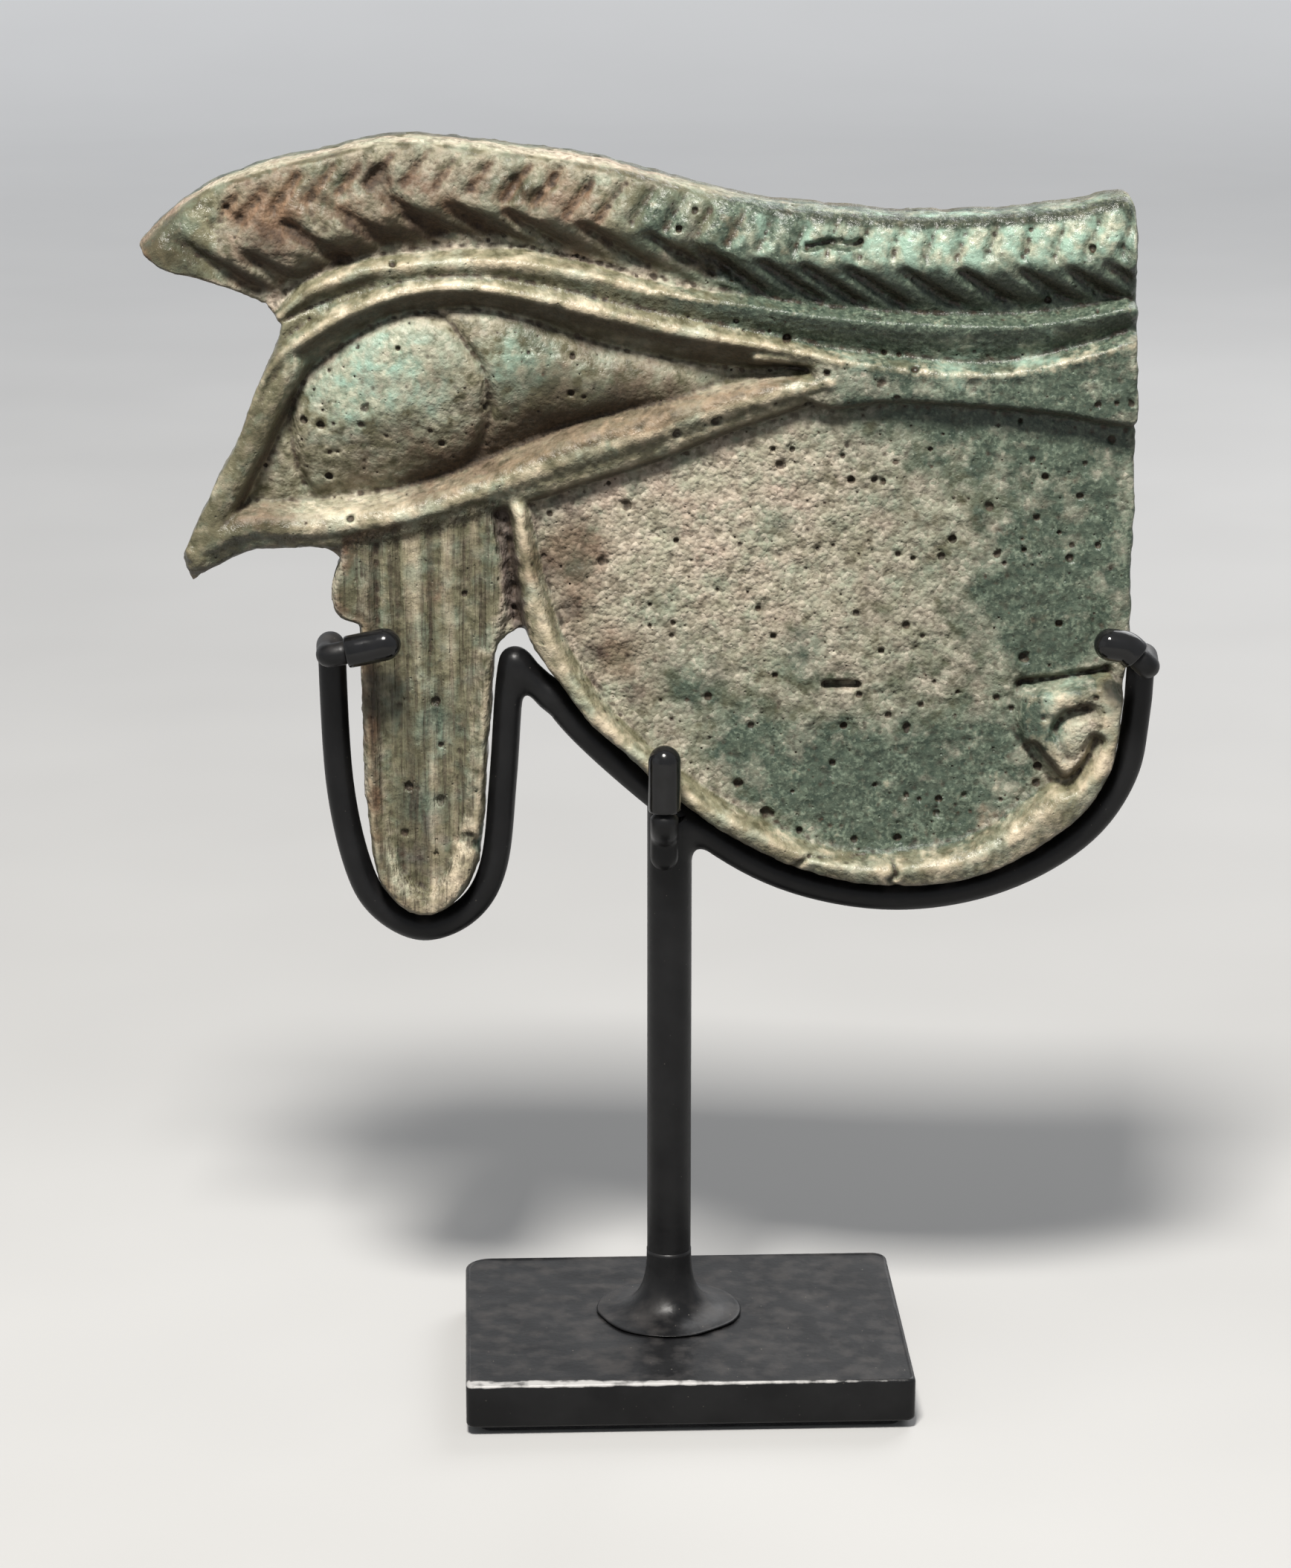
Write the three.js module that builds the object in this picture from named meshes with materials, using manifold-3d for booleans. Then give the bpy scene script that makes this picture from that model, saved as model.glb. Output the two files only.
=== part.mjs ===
// Wedjat eye amulet of glazed faience, held in a blackened metal display mount.
// Millimetres, +Z up. The amulet faces -Y. The origin is the centre of the underside of the base.
import * as THREE from 'three';
import * as BufferGeometryUtils from 'three/addons/utils/BufferGeometryUtils.js';
import Module from 'manifold-3d';

const wasm = await Module();
wasm.setup();

// Driving sizes of the amulet
const EYE_WIDTH = 90;
const EYE_HEIGHT = 72.5;
const EYE_REST_HEIGHT = 45.5;
const EYE_OFFSET = -3.7;

// Thickness of the amulet at each feature, measured from its flat back
const BROW_LEVEL = 8;
const RIM_LEVEL = 7.6;
const TAIL_LEVEL = 7.1;
const FOLD_LEVEL = 7;
const CHANNEL_LEVEL = 6;
const DROP_LEVEL = 6.2;
const FIELD_LEVEL = 5.2;
const SOCKET_LEVEL = 4.4;
const BALL_LEVEL = 7.3;
const IRIS_RISE = 0.6;

// Small sizes of the amulet's relief
const EDGE_BEVEL = 0.7;
const BROW_BEVEL = 1.1;
const TAIL_BEVEL = 0.6;
const SHOULDER_DROP = 1;
const RIB_WIDTH = 0.8;
const RIB_RISE = 0.6;
const STROKE_WIDTH = 1.7;
const STROKE_DEPTH = 0.9;
const PIT_DEPTH = 1.4;
const EMBED = 1.5;

// Driving sizes of the mount
const BASE_WIDTH = 42;
const BASE_DEPTH = 31.5;
const BASE_THICKNESS = 4.3;
const BASE_CORNER = 1.2;
const BASE_EDGE = 0.35;
const BASE_TURN_DEGREES = 2.3;
const FELT_THICKNESS = 0.8;
const FELT_INSET = 1.2;
const STEM_DIAMETER = 4.2;
const STEM_OFFSET = -1.4;
const CENTRE_PRONG_OFFSET = -0.5;
const STEM_SETBACK = 2;
const FOOT_RADIUS = 7;
const FOOT_HEIGHT = 6.4;
const FOOT_RIM = 0.25;
const HEAD_HEIGHT = 4.2;
const WIRE_DIAMETER = 2.6;
const PRONG_DIAMETER = 1.5;
const SLEEVE_DIAMETER = 3;
const SLEEVE_GAP = 0.2;
const SLEEVE_LENGTH = 5.4;
const PRONG_BEND = 1.5;
const CENTRE_ROOT_LENGTH = 3.5;
const HEAD_REACH = 3.4;
const HEAD_RIM = 0.35;
const NOTCH_BRAZE_RADIUS = 1.7;
const CLEARANCE = 0.3;
const OVERRUN = 2;

// The outlines were read from a little above the amulet, where its top stands nearer
const KEYSTONE_SHARE = 0.05;
const VIEW_AXIS_SHARE = 0.508;
const WIDEST_SHARE = 0.88;
const CROWN_SHARE = 0.45;

// Counts
const OUTLINE_STEPS = 2;
const EDGE_BEVEL_STEPS = 1;
const CREST_BEVEL_STEPS = 2;
const BAND_STEPS = 2;
const SECTION_POINTS = 6;
const PIT_SIDES = 8;
const WIRE_SIDES = 10;
const WIRE_STEPS = 48;
const FOOT_STEPS = 6;
const CORNER_STEPS = 4;
const ROUND_SIDES = 28;
const CHEVRONS = 26;

// Edge of the amulet, clockwise from the tip of the brow, as shares of its width and height
const BROW_TOP_SHARES = [
  [0, 0.871], [0.063, 0.942], [0.156, 0.982], [0.242, 1.005], [0.296, 1.006], [0.412, 0.988],
  [0.49, 0.971], [0.568, 0.943], [0.646, 0.923], [0.723, 0.913], [0.801, 0.909], [0.878, 0.914],
  [0.94, 0.922], [0.976, 0.934], [0.993, 0.933], [1, 0.915],
];
const RIGHT_SIDE_SHARES = [[1, 0.915], [1, 0.654], [0.993, 0.372], [0.989, 0.31]];
const CURL_EDGE_SHARES = [
  [0.989, 0.31], [0.982, 0.239], [0.974, 0.187], [0.94, 0.121], [0.871, 0.067], [0.792, 0.042],
  [0.714, 0.045], [0.63, 0.077], [0.545, 0.151], [0.46, 0.246], [0.432, 0.29], [0.395, 0.356],
];
const NOTCH_SHARES = [[0.395, 0.356], [0.386, 0.368], [0.374, 0.364], [0.361, 0.35]];
const DROP_EDGE_SHARES = [
  [0.361, 0.35], [0.354, 0.291], [0.348, 0.171], [0.339, 0.065], [0.318, 0.018], [0.286, 0.001],
  [0.256, 0.021], [0.237, 0.065], [0.228, 0.171], [0.222, 0.334], [0.222, 0.378],
];
const BUMP_SHARES = [[0.222, 0.378], [0.202, 0.388], [0.194, 0.413], [0.197, 0.439], [0.203, 0.461]];
const LID_UNDERSIDE_SHARES = [[0.203, 0.461], [0.18, 0.477], [0.125, 0.475], [0.094, 0.464], [0.055, 0.434]];
const LEFT_SIDE_SHARES = [[0.055, 0.434], [0.048, 0.46], [0.052, 0.484], [0.101, 0.621], [0.145, 0.767]];
const BROW_UNDERSIDE_SHARES = [
  [0.145, 0.767], [0.135, 0.781], [0.119, 0.798], [0.09, 0.814], [0.062, 0.828], [0.024, 0.842], [0, 0.871],
];

// Lower edge of the brow, from the right side to its tip
const BROW_LOWER_SHARES = [
  [1, 0.8], [0.985, 0.797], [0.76, 0.783], [0.608, 0.802], [0.508, 0.836], [0.437, 0.856],
  [0.367, 0.874], [0.314, 0.878], [0.247, 0.86], [0.191, 0.834], [0.119, 0.798],
];

// Bands that stand up from the plate: places along the middle, with the width there as a third share
const FOLD_SHARES = [
  [0.14, 0.781, 0.016], [0.171, 0.809, 0.018], [0.215, 0.837, 0.018], [0.267, 0.859, 0.018],
  [0.314, 0.869, 0.018], [0.367, 0.864, 0.018], [0.414, 0.853, 0.018], [0.458, 0.841, 0.018],
  [0.533, 0.816, 0.018], [0.608, 0.802, 0.018], [0.683, 0.788, 0.018], [0.758, 0.777, 0.018],
  [0.834, 0.775, 0.018], [0.909, 0.777, 0.018], [0.99, 0.8, 0.02],
];
const UPPER_LID_SHARES = [
  [0.068, 0.491, 0.034], [0.115, 0.621, 0.03], [0.147, 0.702, 0.03], [0.182, 0.742, 0.03],
  [0.225, 0.776, 0.03], [0.277, 0.799, 0.028], [0.337, 0.805, 0.028], [0.404, 0.793, 0.03],
  [0.458, 0.776, 0.034], [0.533, 0.748, 0.034], [0.608, 0.728, 0.026], [0.664, 0.721, 0.018],
  [0.7, 0.717, 0.01],
];
const LOWER_LID_SHARES = [
  [0.07, 0.478, 0.034], [0.112, 0.499, 0.034], [0.163, 0.499, 0.032], [0.213, 0.505, 0.032],
  [0.27, 0.517, 0.031], [0.326, 0.539, 0.031], [0.382, 0.568, 0.029], [0.456, 0.606, 0.029],
  [0.517, 0.63, 0.032], [0.576, 0.654, 0.032], [0.635, 0.673, 0.03], [0.69, 0.69, 0.02],
];
const CURL_SHARES = [
  [0.382, 0.53, 0.018], [0.39, 0.458, 0.024], [0.401, 0.392, 0.03], [0.416, 0.343, 0.031],
  [0.45, 0.276, 0.028], [0.487, 0.226, 0.026], [0.527, 0.184, 0.026], [0.566, 0.145, 0.027],
  [0.609, 0.115, 0.026], [0.651, 0.088, 0.026], [0.693, 0.07, 0.027], [0.734, 0.061, 0.029],
  [0.778, 0.061, 0.03], [0.825, 0.069, 0.03], [0.863, 0.088, 0.031], [0.896, 0.117, 0.032],
  [0.929, 0.149, 0.031], [0.952, 0.185, 0.029], [0.965, 0.228, 0.029], [0.967, 0.272, 0.028],
  [0.955, 0.292, 0.024], [0.932, 0.293, 0.024], [0.909, 0.28, 0.026], [0.902, 0.25, 0.026],
  [0.915, 0.228, 0.024], [0.934, 0.236, 0.022],
];
const DROP_RIM_SHARES = [
  [0.345, 0.34, 0.016], [0.343, 0.291, 0.018], [0.337, 0.171, 0.02], [0.327, 0.075, 0.022],
  [0.309, 0.034, 0.024], [0.286, 0.02, 0.026], [0.265, 0.036, 0.024], [0.249, 0.075, 0.022],
  [0.24, 0.171, 0.018], [0.234, 0.334, 0.016], [0.226, 0.43, 0.014],
];

// Filled outlines
const TAIL_SHARES = [
  [0.655, 0.68], [0.691, 0.727], [0.778, 0.714], [0.834, 0.709], [0.89, 0.714], [0.946, 0.732],
  [0.998, 0.747], [0.998, 0.646], [0.909, 0.656], [0.834, 0.665], [0.751, 0.67], [0.694, 0.662],
];
const EYE_OPENING_SHARES = [
  [0.085, 0.505], [0.129, 0.621], [0.157, 0.687], [0.191, 0.73], [0.236, 0.768], [0.284, 0.786],
  [0.34, 0.79], [0.397, 0.778], [0.456, 0.753], [0.56, 0.72], [0.66, 0.705], [0.56, 0.66],
  [0.45, 0.625], [0.382, 0.595], [0.326, 0.565], [0.27, 0.545], [0.2, 0.525], [0.13, 0.515],
];
const CHANNEL_SHARES = [
  [0.13, 0.76], [0.2, 0.8], [0.3, 0.85], [0.4, 0.84], [0.56, 0.8], [0.7, 0.775], [0.85, 0.765],
  [0.998, 0.79], [0.998, 0.72], [0.84, 0.69], [0.7, 0.7], [0.6, 0.73], [0.42, 0.78], [0.3, 0.8],
  [0.2, 0.77], [0.15, 0.72],
];
const DROP_NECK_SHARES = [[0.203, 0.5], [0.37, 0.56], [0.372, 0.42], [0.361, 0.35]];

// Eyeball, its iris and the herringbone, as shares
const BALL_CENTRE_SHARES = [0.34, 0.655];
const BALL_RADIUS_SHARES = [0.315, 0.13];
const BALL_TILT_DEGREES = 11;
const IRIS_CENTRE_SHARES = [0.262, 0.652];
const IRIS_RADIUS_SHARES = [0.14, 0.17];
const CHEVRON_SHARES = [
  [0.075, 0.875], [0.14, 0.905], [0.205, 0.928], [0.25, 0.94], [0.3, 0.93], [0.38, 0.905],
  [0.5, 0.872], [0.6, 0.855], [0.7, 0.846], [0.82, 0.84], [0.99, 0.842],
];
const UPPER_STROKE_SHARES = [0.026, 0.045];
const LOWER_STROKE_SHARES = [0.06, -0.05];
const RIB_COUNT = 6;
const RIB_FIRST_SHARES = [0.252, 0.455];
const RIB_LAST_SHARES = [0.335, 0.47];
const RIB_FOOT_SHARES = [0.262, 0.322, 0.085];

// Larger pits in the cheek: place and radius as shares
const SLOT_SHARES = [0.704, 0.299, 0.017, 0.009];
const PIT_SHARES = [
  [0.644, 0.584, 0.0065], [0.488, 0.532, 0.006], [0.466, 0.46, 0.006], [0.601, 0.171, 0.006],
  [0.631, 0.131, 0.0065], [0.77, 0.242, 0.0055], [0.751, 0.259, 0.0045], [0.769, 0.376, 0.0045],
  [0.887, 0.335, 0.006], [0.861, 0.281, 0.005], [0.802, 0.149, 0.005], [0.719, 0.392, 0.004],
  [0.954, 0.869, 0.006], [0.717, 0.098, 0.004],
];

// Prongs, as shares
const WIRE_START_SHARE = 0.35;
const LEFT_CORNER_SHARE = 0.352;
const LEFT_PRONG_RISE_DEGREES = 12;
const CENTRE_EDGE_SHARE = 0.166;
const CENTRE_TIP_SHARE = 0.237;
const RIGHT_CORNER_SHARE = 0.337;
const RIGHT_START_SHARE = 0.45;
const RIGHT_BEND_SHARES = [0.985, 0.364];
const RIGHT_PRONG_SHARES = [0.953, 0.37];
const NOTCH_BRAZE_SHARE = 0.2;

// Materials
const faience = new THREE.MeshStandardMaterial({ color: 0x7d9a86, roughness: 0.45, metalness: 0 });
const blackMetal = new THREE.MeshStandardMaterial({ color: 0x141416, roughness: 0.5, metalness: 0.3 });
const blackSleeve = new THREE.MeshStandardMaterial({ color: 0x060607, roughness: 0.15, metalness: 0 });
const filler = new THREE.MeshStandardMaterial({ color: 0x17171a, roughness: 0.45, metalness: 0.2 });
const felt = new THREE.MeshStandardMaterial({ color: 0x101012, roughness: 1, metalness: 0 });

// Derived sizes
const WIRE_RADIUS = WIRE_DIAMETER / 2;
const STEM_RADIUS = STEM_DIAMETER / 2;
const SLEEVE_RADIUS = SLEEVE_DIAMETER / 2;
const PRONG_RADIUS = PRONG_DIAMETER / 2;
const BASE_TOP = FELT_THICKNESS + BASE_THICKNESS;
const BACK_Y = STEM_SETBACK + BROW_LEVEL / 2;
const WIRE_Y = STEM_SETBACK;
const PRONG_Y = BACK_Y - BROW_LEVEL - CLEARANCE - SLEEVE_RADIUS;
const WIRE_OFFSET = CLEARANCE + WIRE_RADIUS;

// Solids
const WELD_DISTANCE = 1e-4;

function solidOf(geometry) {
  const bare = geometry.index ? geometry.toNonIndexed() : geometry.clone();
  bare.deleteAttribute('normal');
  bare.deleteAttribute('uv');
  const merged = BufferGeometryUtils.mergeVertices(bare, WELD_DISTANCE);
  const place = merged.attributes.position;
  const corners = Array.from(merged.index.array);
  const whole = [];
  let volume = 0;
  for (let i = 0; i < corners.length; i += 3) {
    const [a, b, c] = corners.slice(i, i + 3);
    if (a === b || b === c || c === a) continue;
    whole.push(a, b, c);
    const pa = new THREE.Vector3().fromBufferAttribute(place, a);
    const pb = new THREE.Vector3().fromBufferAttribute(place, b);
    const pc = new THREE.Vector3().fromBufferAttribute(place, c);
    volume += pa.dot(pb.cross(pc));
  }
  if (volume < 0) whole.reverse();
  const vertProperties = new Float32Array(place.array);
  const mesh = new wasm.Mesh({ numProp: 3, vertProperties, triVerts: new Uint32Array(whole) });
  return new wasm.Manifold(mesh);
}

function geometryOf(solid) {
  const mesh = solid.getMesh();
  const geometry = new THREE.BufferGeometry();
  geometry.setAttribute('position', new THREE.BufferAttribute(new Float32Array(mesh.vertProperties), 3));
  geometry.setIndex(new THREE.BufferAttribute(new Uint32Array(mesh.triVerts), 1));
  geometry.computeVertexNormals();
  return geometry;
}

// Drops the paper-thin slivers that a cut can leave where two faces lie together
function withoutSlivers(solid) {
  const pieces = solid.decompose();
  return pieces.reduce((best, piece) => (piece.volume() > best.volume() ? piece : best));
}

function part(name, solid, material) {
  const mesh = new THREE.Mesh(geometryOf(withoutSlivers(solid)), material);
  mesh.name = name;
  return mesh;
}

// Places on the amulet: x to the right, z up from its lowest point, y forward from its back
function spot([xShare, zShare]) {
  const across = (xShare - VIEW_AXIS_SHARE) * (1 + KEYSTONE_SHARE * (WIDEST_SHARE - zShare));
  const up = zShare + KEYSTONE_SHARE * zShare * (1 - zShare);
  return new THREE.Vector2(EYE_WIDTH * across, EYE_HEIGHT * up);
}

function smooth(shares, steps = OUTLINE_STEPS) {
  const curve = new THREE.SplineCurve(shares.map(spot));
  return curve.getPoints(steps * (shares.length - 1));
}

function outline(...runs) {
  const points = runs.flatMap((run) => run.slice(0, -1));
  return new THREE.Shape(points);
}

function closed(shares) {
  return outline(smooth([...shares, shares[0]], 1));
}

// A slab of the outline from one level to another, with its front edge bevelled
function slab(shape, back, front, bevel) {
  const options = { depth: front - back - bevel, bevelSegments: CREST_BEVEL_STEPS };
  options.bevelThickness = bevel;
  options.bevelSize = bevel;
  options.bevelOffset = -bevel;
  const raised = new THREE.ExtrudeGeometry(shape, options);
  raised.rotateX(Math.PI / 2);
  raised.translate(0, -back, 0);
  const width = EYE_WIDTH * 2;
  const keep = new THREE.BoxGeometry(width, front - back + OVERRUN, width);
  keep.translate(0, -back - (front - back + OVERRUN) / 2, 0);
  return solidOf(raised).intersect(solidOf(keep));
}

// A band with a crowned section that follows a line on the amulet
function band(shares, level, back) {
  const middle = new THREE.SplineCurve(shares.map(spot));
  const halves = shares.map((share, i) => new THREE.Vector2(i, share[2] * EYE_WIDTH / 2));
  const widths = new THREE.SplineCurve(halves);
  const steps = BAND_STEPS * (shares.length - 1);
  const places = [];
  for (let i = 0; i <= steps; i += 1) {
    const at = middle.getPoint(i / steps);
    const along = middle.getTangent(i / steps);
    const half = widths.getPoint(i / steps).y;
    const side = new THREE.Vector2(-along.y, along.x).multiplyScalar(half);
    const section = [
      [1, back], [1, level - SHOULDER_DROP], [CROWN_SHARE, level],
      [-CROWN_SHARE, level], [-1, level - SHOULDER_DROP], [-1, back],
    ];
    section.forEach(([out, height]) => places.push(at.x + side.x * out, -height, at.y + side.y * out));
  }
  return solidOf(skin(places, SECTION_POINTS, steps));
}

// Closed skin over equal rings of points
function skin(places, ring, steps) {
  const corners = [];
  for (let i = 0; i < steps; i += 1) {
    for (let j = 0; j < ring; j += 1) {
      const a = i * ring + j;
      const b = i * ring + ((j + 1) % ring);
      corners.push(a, b, a + ring, b, b + ring, a + ring);
    }
  }
  const last = steps * ring;
  for (let j = 1; j < ring - 1; j += 1) {
    corners.push(0, j + 1, j);
    corners.push(last, last + j, last + j + 1);
  }
  const geometry = new THREE.BufferGeometry();
  geometry.setAttribute('position', new THREE.Float32BufferAttribute(places, 3));
  geometry.setIndex(corners);
  return geometry;
}

function join(solids) {
  return solids.reduce((whole, solid) => whole.add(solid));
}

// Amulet
function silhouette() {
  return outline(
    smooth(BROW_TOP_SHARES), smooth(RIGHT_SIDE_SHARES), smooth(CURL_EDGE_SHARES), smooth(NOTCH_SHARES),
    smooth(DROP_EDGE_SHARES), smooth(BUMP_SHARES, 1), smooth(LID_UNDERSIDE_SHARES, 1),
    smooth(LEFT_SIDE_SHARES, 1), smooth(BROW_UNDERSIDE_SHARES, 1),
  );
}

// A straight-sided block of an outline, from the back to a level beyond the relief
function prism(shape, back) {
  const block = new THREE.ExtrudeGeometry(shape, { depth: BROW_LEVEL + OVERRUN, bevelEnabled: false });
  block.rotateX(Math.PI / 2);
  block.translate(0, -back, 0);
  return solidOf(block);
}

function plate() {
  const edge = silhouette();
  const options = { depth: FIELD_LEVEL - EDGE_BEVEL, bevelSegments: EDGE_BEVEL_STEPS };
  options.bevelThickness = EDGE_BEVEL;
  options.bevelSize = EDGE_BEVEL;
  options.bevelOffset = -EDGE_BEVEL;
  const body = new THREE.ExtrudeGeometry(edge, options);
  body.rotateX(Math.PI / 2);
  body.translate(0, -EDGE_BEVEL, 0);
  const front = new THREE.BoxGeometry(EYE_WIDTH * 2, OVERRUN, EYE_HEIGHT * 3);
  front.translate(0, -FIELD_LEVEL - OVERRUN / 2, 0);
  return solidOf(body).subtract(solidOf(front));
}

function brow() {
  const edge = outline(
    smooth(BROW_TOP_SHARES.slice(0, -2)), smooth(BROW_TOP_SHARES.slice(-3), 1),
    [spot(RIGHT_SIDE_SHARES[0]), spot(BROW_LOWER_SHARES[0])],
    smooth(BROW_LOWER_SHARES, 1), smooth(BROW_UNDERSIDE_SHARES.slice(2), 1),
  );
  return slab(edge, EMBED, BROW_LEVEL, BROW_BEVEL);
}

// One carved stroke of the herringbone, deepest at its middle
function stroke(from, to) {
  const start = spot(from);
  const end = spot(to);
  const cut = new THREE.OctahedronGeometry(1);
  cut.scale(start.distanceTo(end) / 2, STROKE_DEPTH, STROKE_WIDTH / 2);
  cut.rotateY(-Math.atan2(end.y - start.y, end.x - start.x));
  cut.translate((start.x + end.x) / 2, -BROW_LEVEL, (start.y + end.y) / 2);
  return solidOf(cut);
}

function herringbone() {
  const line = new THREE.SplineCurve(CHEVRON_SHARES.map(([x, z]) => new THREE.Vector2(x, z)));
  const cuts = [];
  for (let i = 0; i < CHEVRONS; i += 1) {
    const vertex = line.getPointAt(i / CHEVRONS);
    const at = [vertex.x, vertex.y];
    cuts.push(stroke(at, [at[0] + UPPER_STROKE_SHARES[0], at[1] + UPPER_STROKE_SHARES[1]]));
    cuts.push(stroke(at, [at[0] + LOWER_STROKE_SHARES[0], at[1] + LOWER_STROKE_SHARES[1]]));
  }
  return join(cuts);
}

function dome(centreShares, radiusShares, rise, tilt) {
  const centre = spot(centreShares);
  const ball = new THREE.SphereGeometry(1, ROUND_SIDES, ROUND_SIDES / 2);
  ball.rotateX(Math.PI / 2);
  ball.scale(radiusShares[0] * EYE_WIDTH, rise, radiusShares[1] * EYE_HEIGHT);
  ball.rotateY(THREE.MathUtils.degToRad(-tilt));
  ball.translate(centre.x, -SOCKET_LEVEL, centre.y);
  return solidOf(ball);
}

function eyeball() {
  const almond = slab(closed(EYE_OPENING_SHARES), EMBED, BROW_LEVEL, TAIL_BEVEL);
  const rise = BALL_LEVEL - SOCKET_LEVEL;
  const white = dome(BALL_CENTRE_SHARES, BALL_RADIUS_SHARES, rise, BALL_TILT_DEGREES);
  const iris = dome(IRIS_CENTRE_SHARES, IRIS_RADIUS_SHARES, rise + IRIS_RISE, 0);
  return white.add(iris).intersect(almond);
}

function socket() {
  return prism(closed(EYE_OPENING_SHARES), SOCKET_LEVEL);
}

function rib(top, foot) {
  const width = RIB_WIDTH / EYE_WIDTH;
  const middle = [(top[0] + foot[0]) / 2, (top[1] + foot[1]) / 2, width];
  return band([[...top, width / 2], middle, [...foot, width / 2]], DROP_LEVEL + RIB_RISE, EMBED);
}

function drop() {
  const edge = outline(smooth(DROP_EDGE_SHARES), smooth(BUMP_SHARES), smooth(DROP_NECK_SHARES, 1));
  const rim = band(DROP_RIM_SHARES, RIM_LEVEL - RIB_RISE, EMBED);
  const pieces = [slab(edge, EMBED, DROP_LEVEL, TAIL_BEVEL), rim];
  for (let i = 0; i < RIB_COUNT; i += 1) {
    const share = i / (RIB_COUNT - 1);
    const top = RIB_FIRST_SHARES.map((value, k) => value + (RIB_LAST_SHARES[k] - value) * share);
    const foot = [RIB_FOOT_SHARES[0] + (RIB_FOOT_SHARES[1] - RIB_FOOT_SHARES[0]) * share, RIB_FOOT_SHARES[2]];
    pieces.push(rib(top, foot));
  }
  return join(pieces);
}

function pits() {
  const cuts = PIT_SHARES.map(([x, z, radius]) => {
    const at = spot([x, z]);
    const cut = new THREE.CylinderGeometry(radius * EYE_WIDTH, radius * EYE_WIDTH, PIT_DEPTH * 2, PIT_SIDES);
    cut.translate(at.x, -FIELD_LEVEL, at.y);
    return solidOf(cut);
  });
  const at = spot(SLOT_SHARES);
  const slot = new THREE.BoxGeometry(SLOT_SHARES[2] * EYE_WIDTH, PIT_DEPTH, SLOT_SHARES[3] * EYE_HEIGHT);
  slot.scale(2, 2, 2);
  slot.translate(at.x, -FIELD_LEVEL, at.y);
  return join([...cuts, solidOf(slot)]);
}

function amuletBody() {
  const channel = slab(closed(CHANNEL_SHARES), EMBED, CHANNEL_LEVEL, TAIL_BEVEL);
  const tail = slab(closed(TAIL_SHARES), EMBED, TAIL_LEVEL, TAIL_BEVEL);
  const base = plate().add(channel).subtract(pits());
  const crest = brow().subtract(herringbone());
  const bands = [band(FOLD_SHARES, FOLD_LEVEL, EMBED), band(CURL_SHARES, RIM_LEVEL, EMBED), drop(), tail];
  const lids = [band(UPPER_LID_SHARES, RIM_LEVEL, EMBED), band(LOWER_LID_SHARES, RIM_LEVEL, EMBED)];
  const relief = join([base, crest, ...bands]).subtract(socket());
  return join([relief, ...lids, eyeball()]).intersect(prism(silhouette(), -OVERRUN));
}

// Mount
function roundTube(points, radius, steps) {
  const path = new THREE.CatmullRomCurve3(points, false, 'centripetal');
  const section = new THREE.Shape();
  for (let i = 0; i < WIRE_SIDES; i += 1) {
    const angle = (i / WIRE_SIDES) * Math.PI * 2;
    const corner = [radius * Math.cos(angle), radius * Math.sin(angle)];
    if (i === 0) section.moveTo(...corner);
    else section.lineTo(...corner);
  }
  return solidOf(new THREE.ExtrudeGeometry(section, { steps, extrudePath: path, bevelEnabled: false }));
}

function ballAt(place, radius) {
  const ball = new THREE.SphereGeometry(radius, WIRE_SIDES, WIRE_SIDES / 2);
  ball.translate(place.x, place.y, place.z);
  return solidOf(ball);
}

// A line that runs outside an edge of the amulet at the wire's distance, in the mount's frame
function besideEdge(shares) {
  const edge = new THREE.SplineCurve(shares.map(spot));
  const count = shares.length - 1;
  return shares.map((unused, i) => {
    const at = edge.getPoint(i / count);
    const along = edge.getTangent(i / count);
    const x = at.x - along.y * WIRE_OFFSET;
    const z = at.y + along.x * WIRE_OFFSET;
    return new THREE.Vector3(EYE_OFFSET + x, WIRE_Y, EYE_REST_HEIGHT + z);
  });
}

function heightOf(zShare) {
  return EYE_REST_HEIGHT + spot([0, zShare]).y;
}

function mountSpot(shares, y) {
  const at = spot(shares);
  return new THREE.Vector3(EYE_OFFSET + at.x, y, EYE_REST_HEIGHT + at.y);
}

// A round rod that turns sharply at each point between its ends
function rod(points, radius) {
  const up = new THREE.Vector3(0, 1, 0);
  const pieces = [];
  for (let i = 1; i < points.length; i += 1) {
    const along = points[i].clone().sub(points[i - 1]);
    const length = along.length();
    const piece = new THREE.CylinderGeometry(radius, radius, length, WIRE_SIDES);
    piece.translate(0, length / 2, 0);
    piece.applyQuaternion(new THREE.Quaternion().setFromUnitVectors(up, along.normalize()));
    piece.translate(points[i - 1].x, points[i - 1].y, points[i - 1].z);
    pieces.push(solidOf(piece));
    if (i < points.length - 1) pieces.push(ballAt(points[i], radius));
  }
  return join(pieces);
}

// Glossy sleeve over a prong: closed and round at the last point, open at the first
function sleeve(points) {
  const last = points.length - 1;
  const end = points[last].clone().sub(points[last - 1]).setLength(SLEEVE_RADIUS);
  const centre = points[last].clone().sub(end);
  const outer = rod([...points.slice(0, last), centre], SLEEVE_RADIUS).add(ballAt(centre, SLEEVE_RADIUS));
  const start = points[0].clone().sub(points[1].clone().sub(points[0]).setLength(OVERRUN));
  const bore = rod([start, ...points.slice(1, last), centre], PRONG_RADIUS + SLEEVE_GAP);
  return outer.subtract(bore);
}

// The prong inside a sleeve, which stops short of the closed end
function prong(points) {
  const last = points.length - 1;
  const end = points[last].clone().sub(points[last - 1]).setLength(SLEEVE_RADIUS + CLEARANCE);
  return rod([...points.slice(0, last), points[last].clone().sub(end)], PRONG_RADIUS);
}

// Moves the first point on by the clearance, so that a sleeve stays off the wire behind it
function shortened(points) {
  const on = points[1].clone().sub(points[0]).setLength(CLEARANCE);
  return [points[0].clone().add(on), ...points.slice(1)];
}

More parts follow.
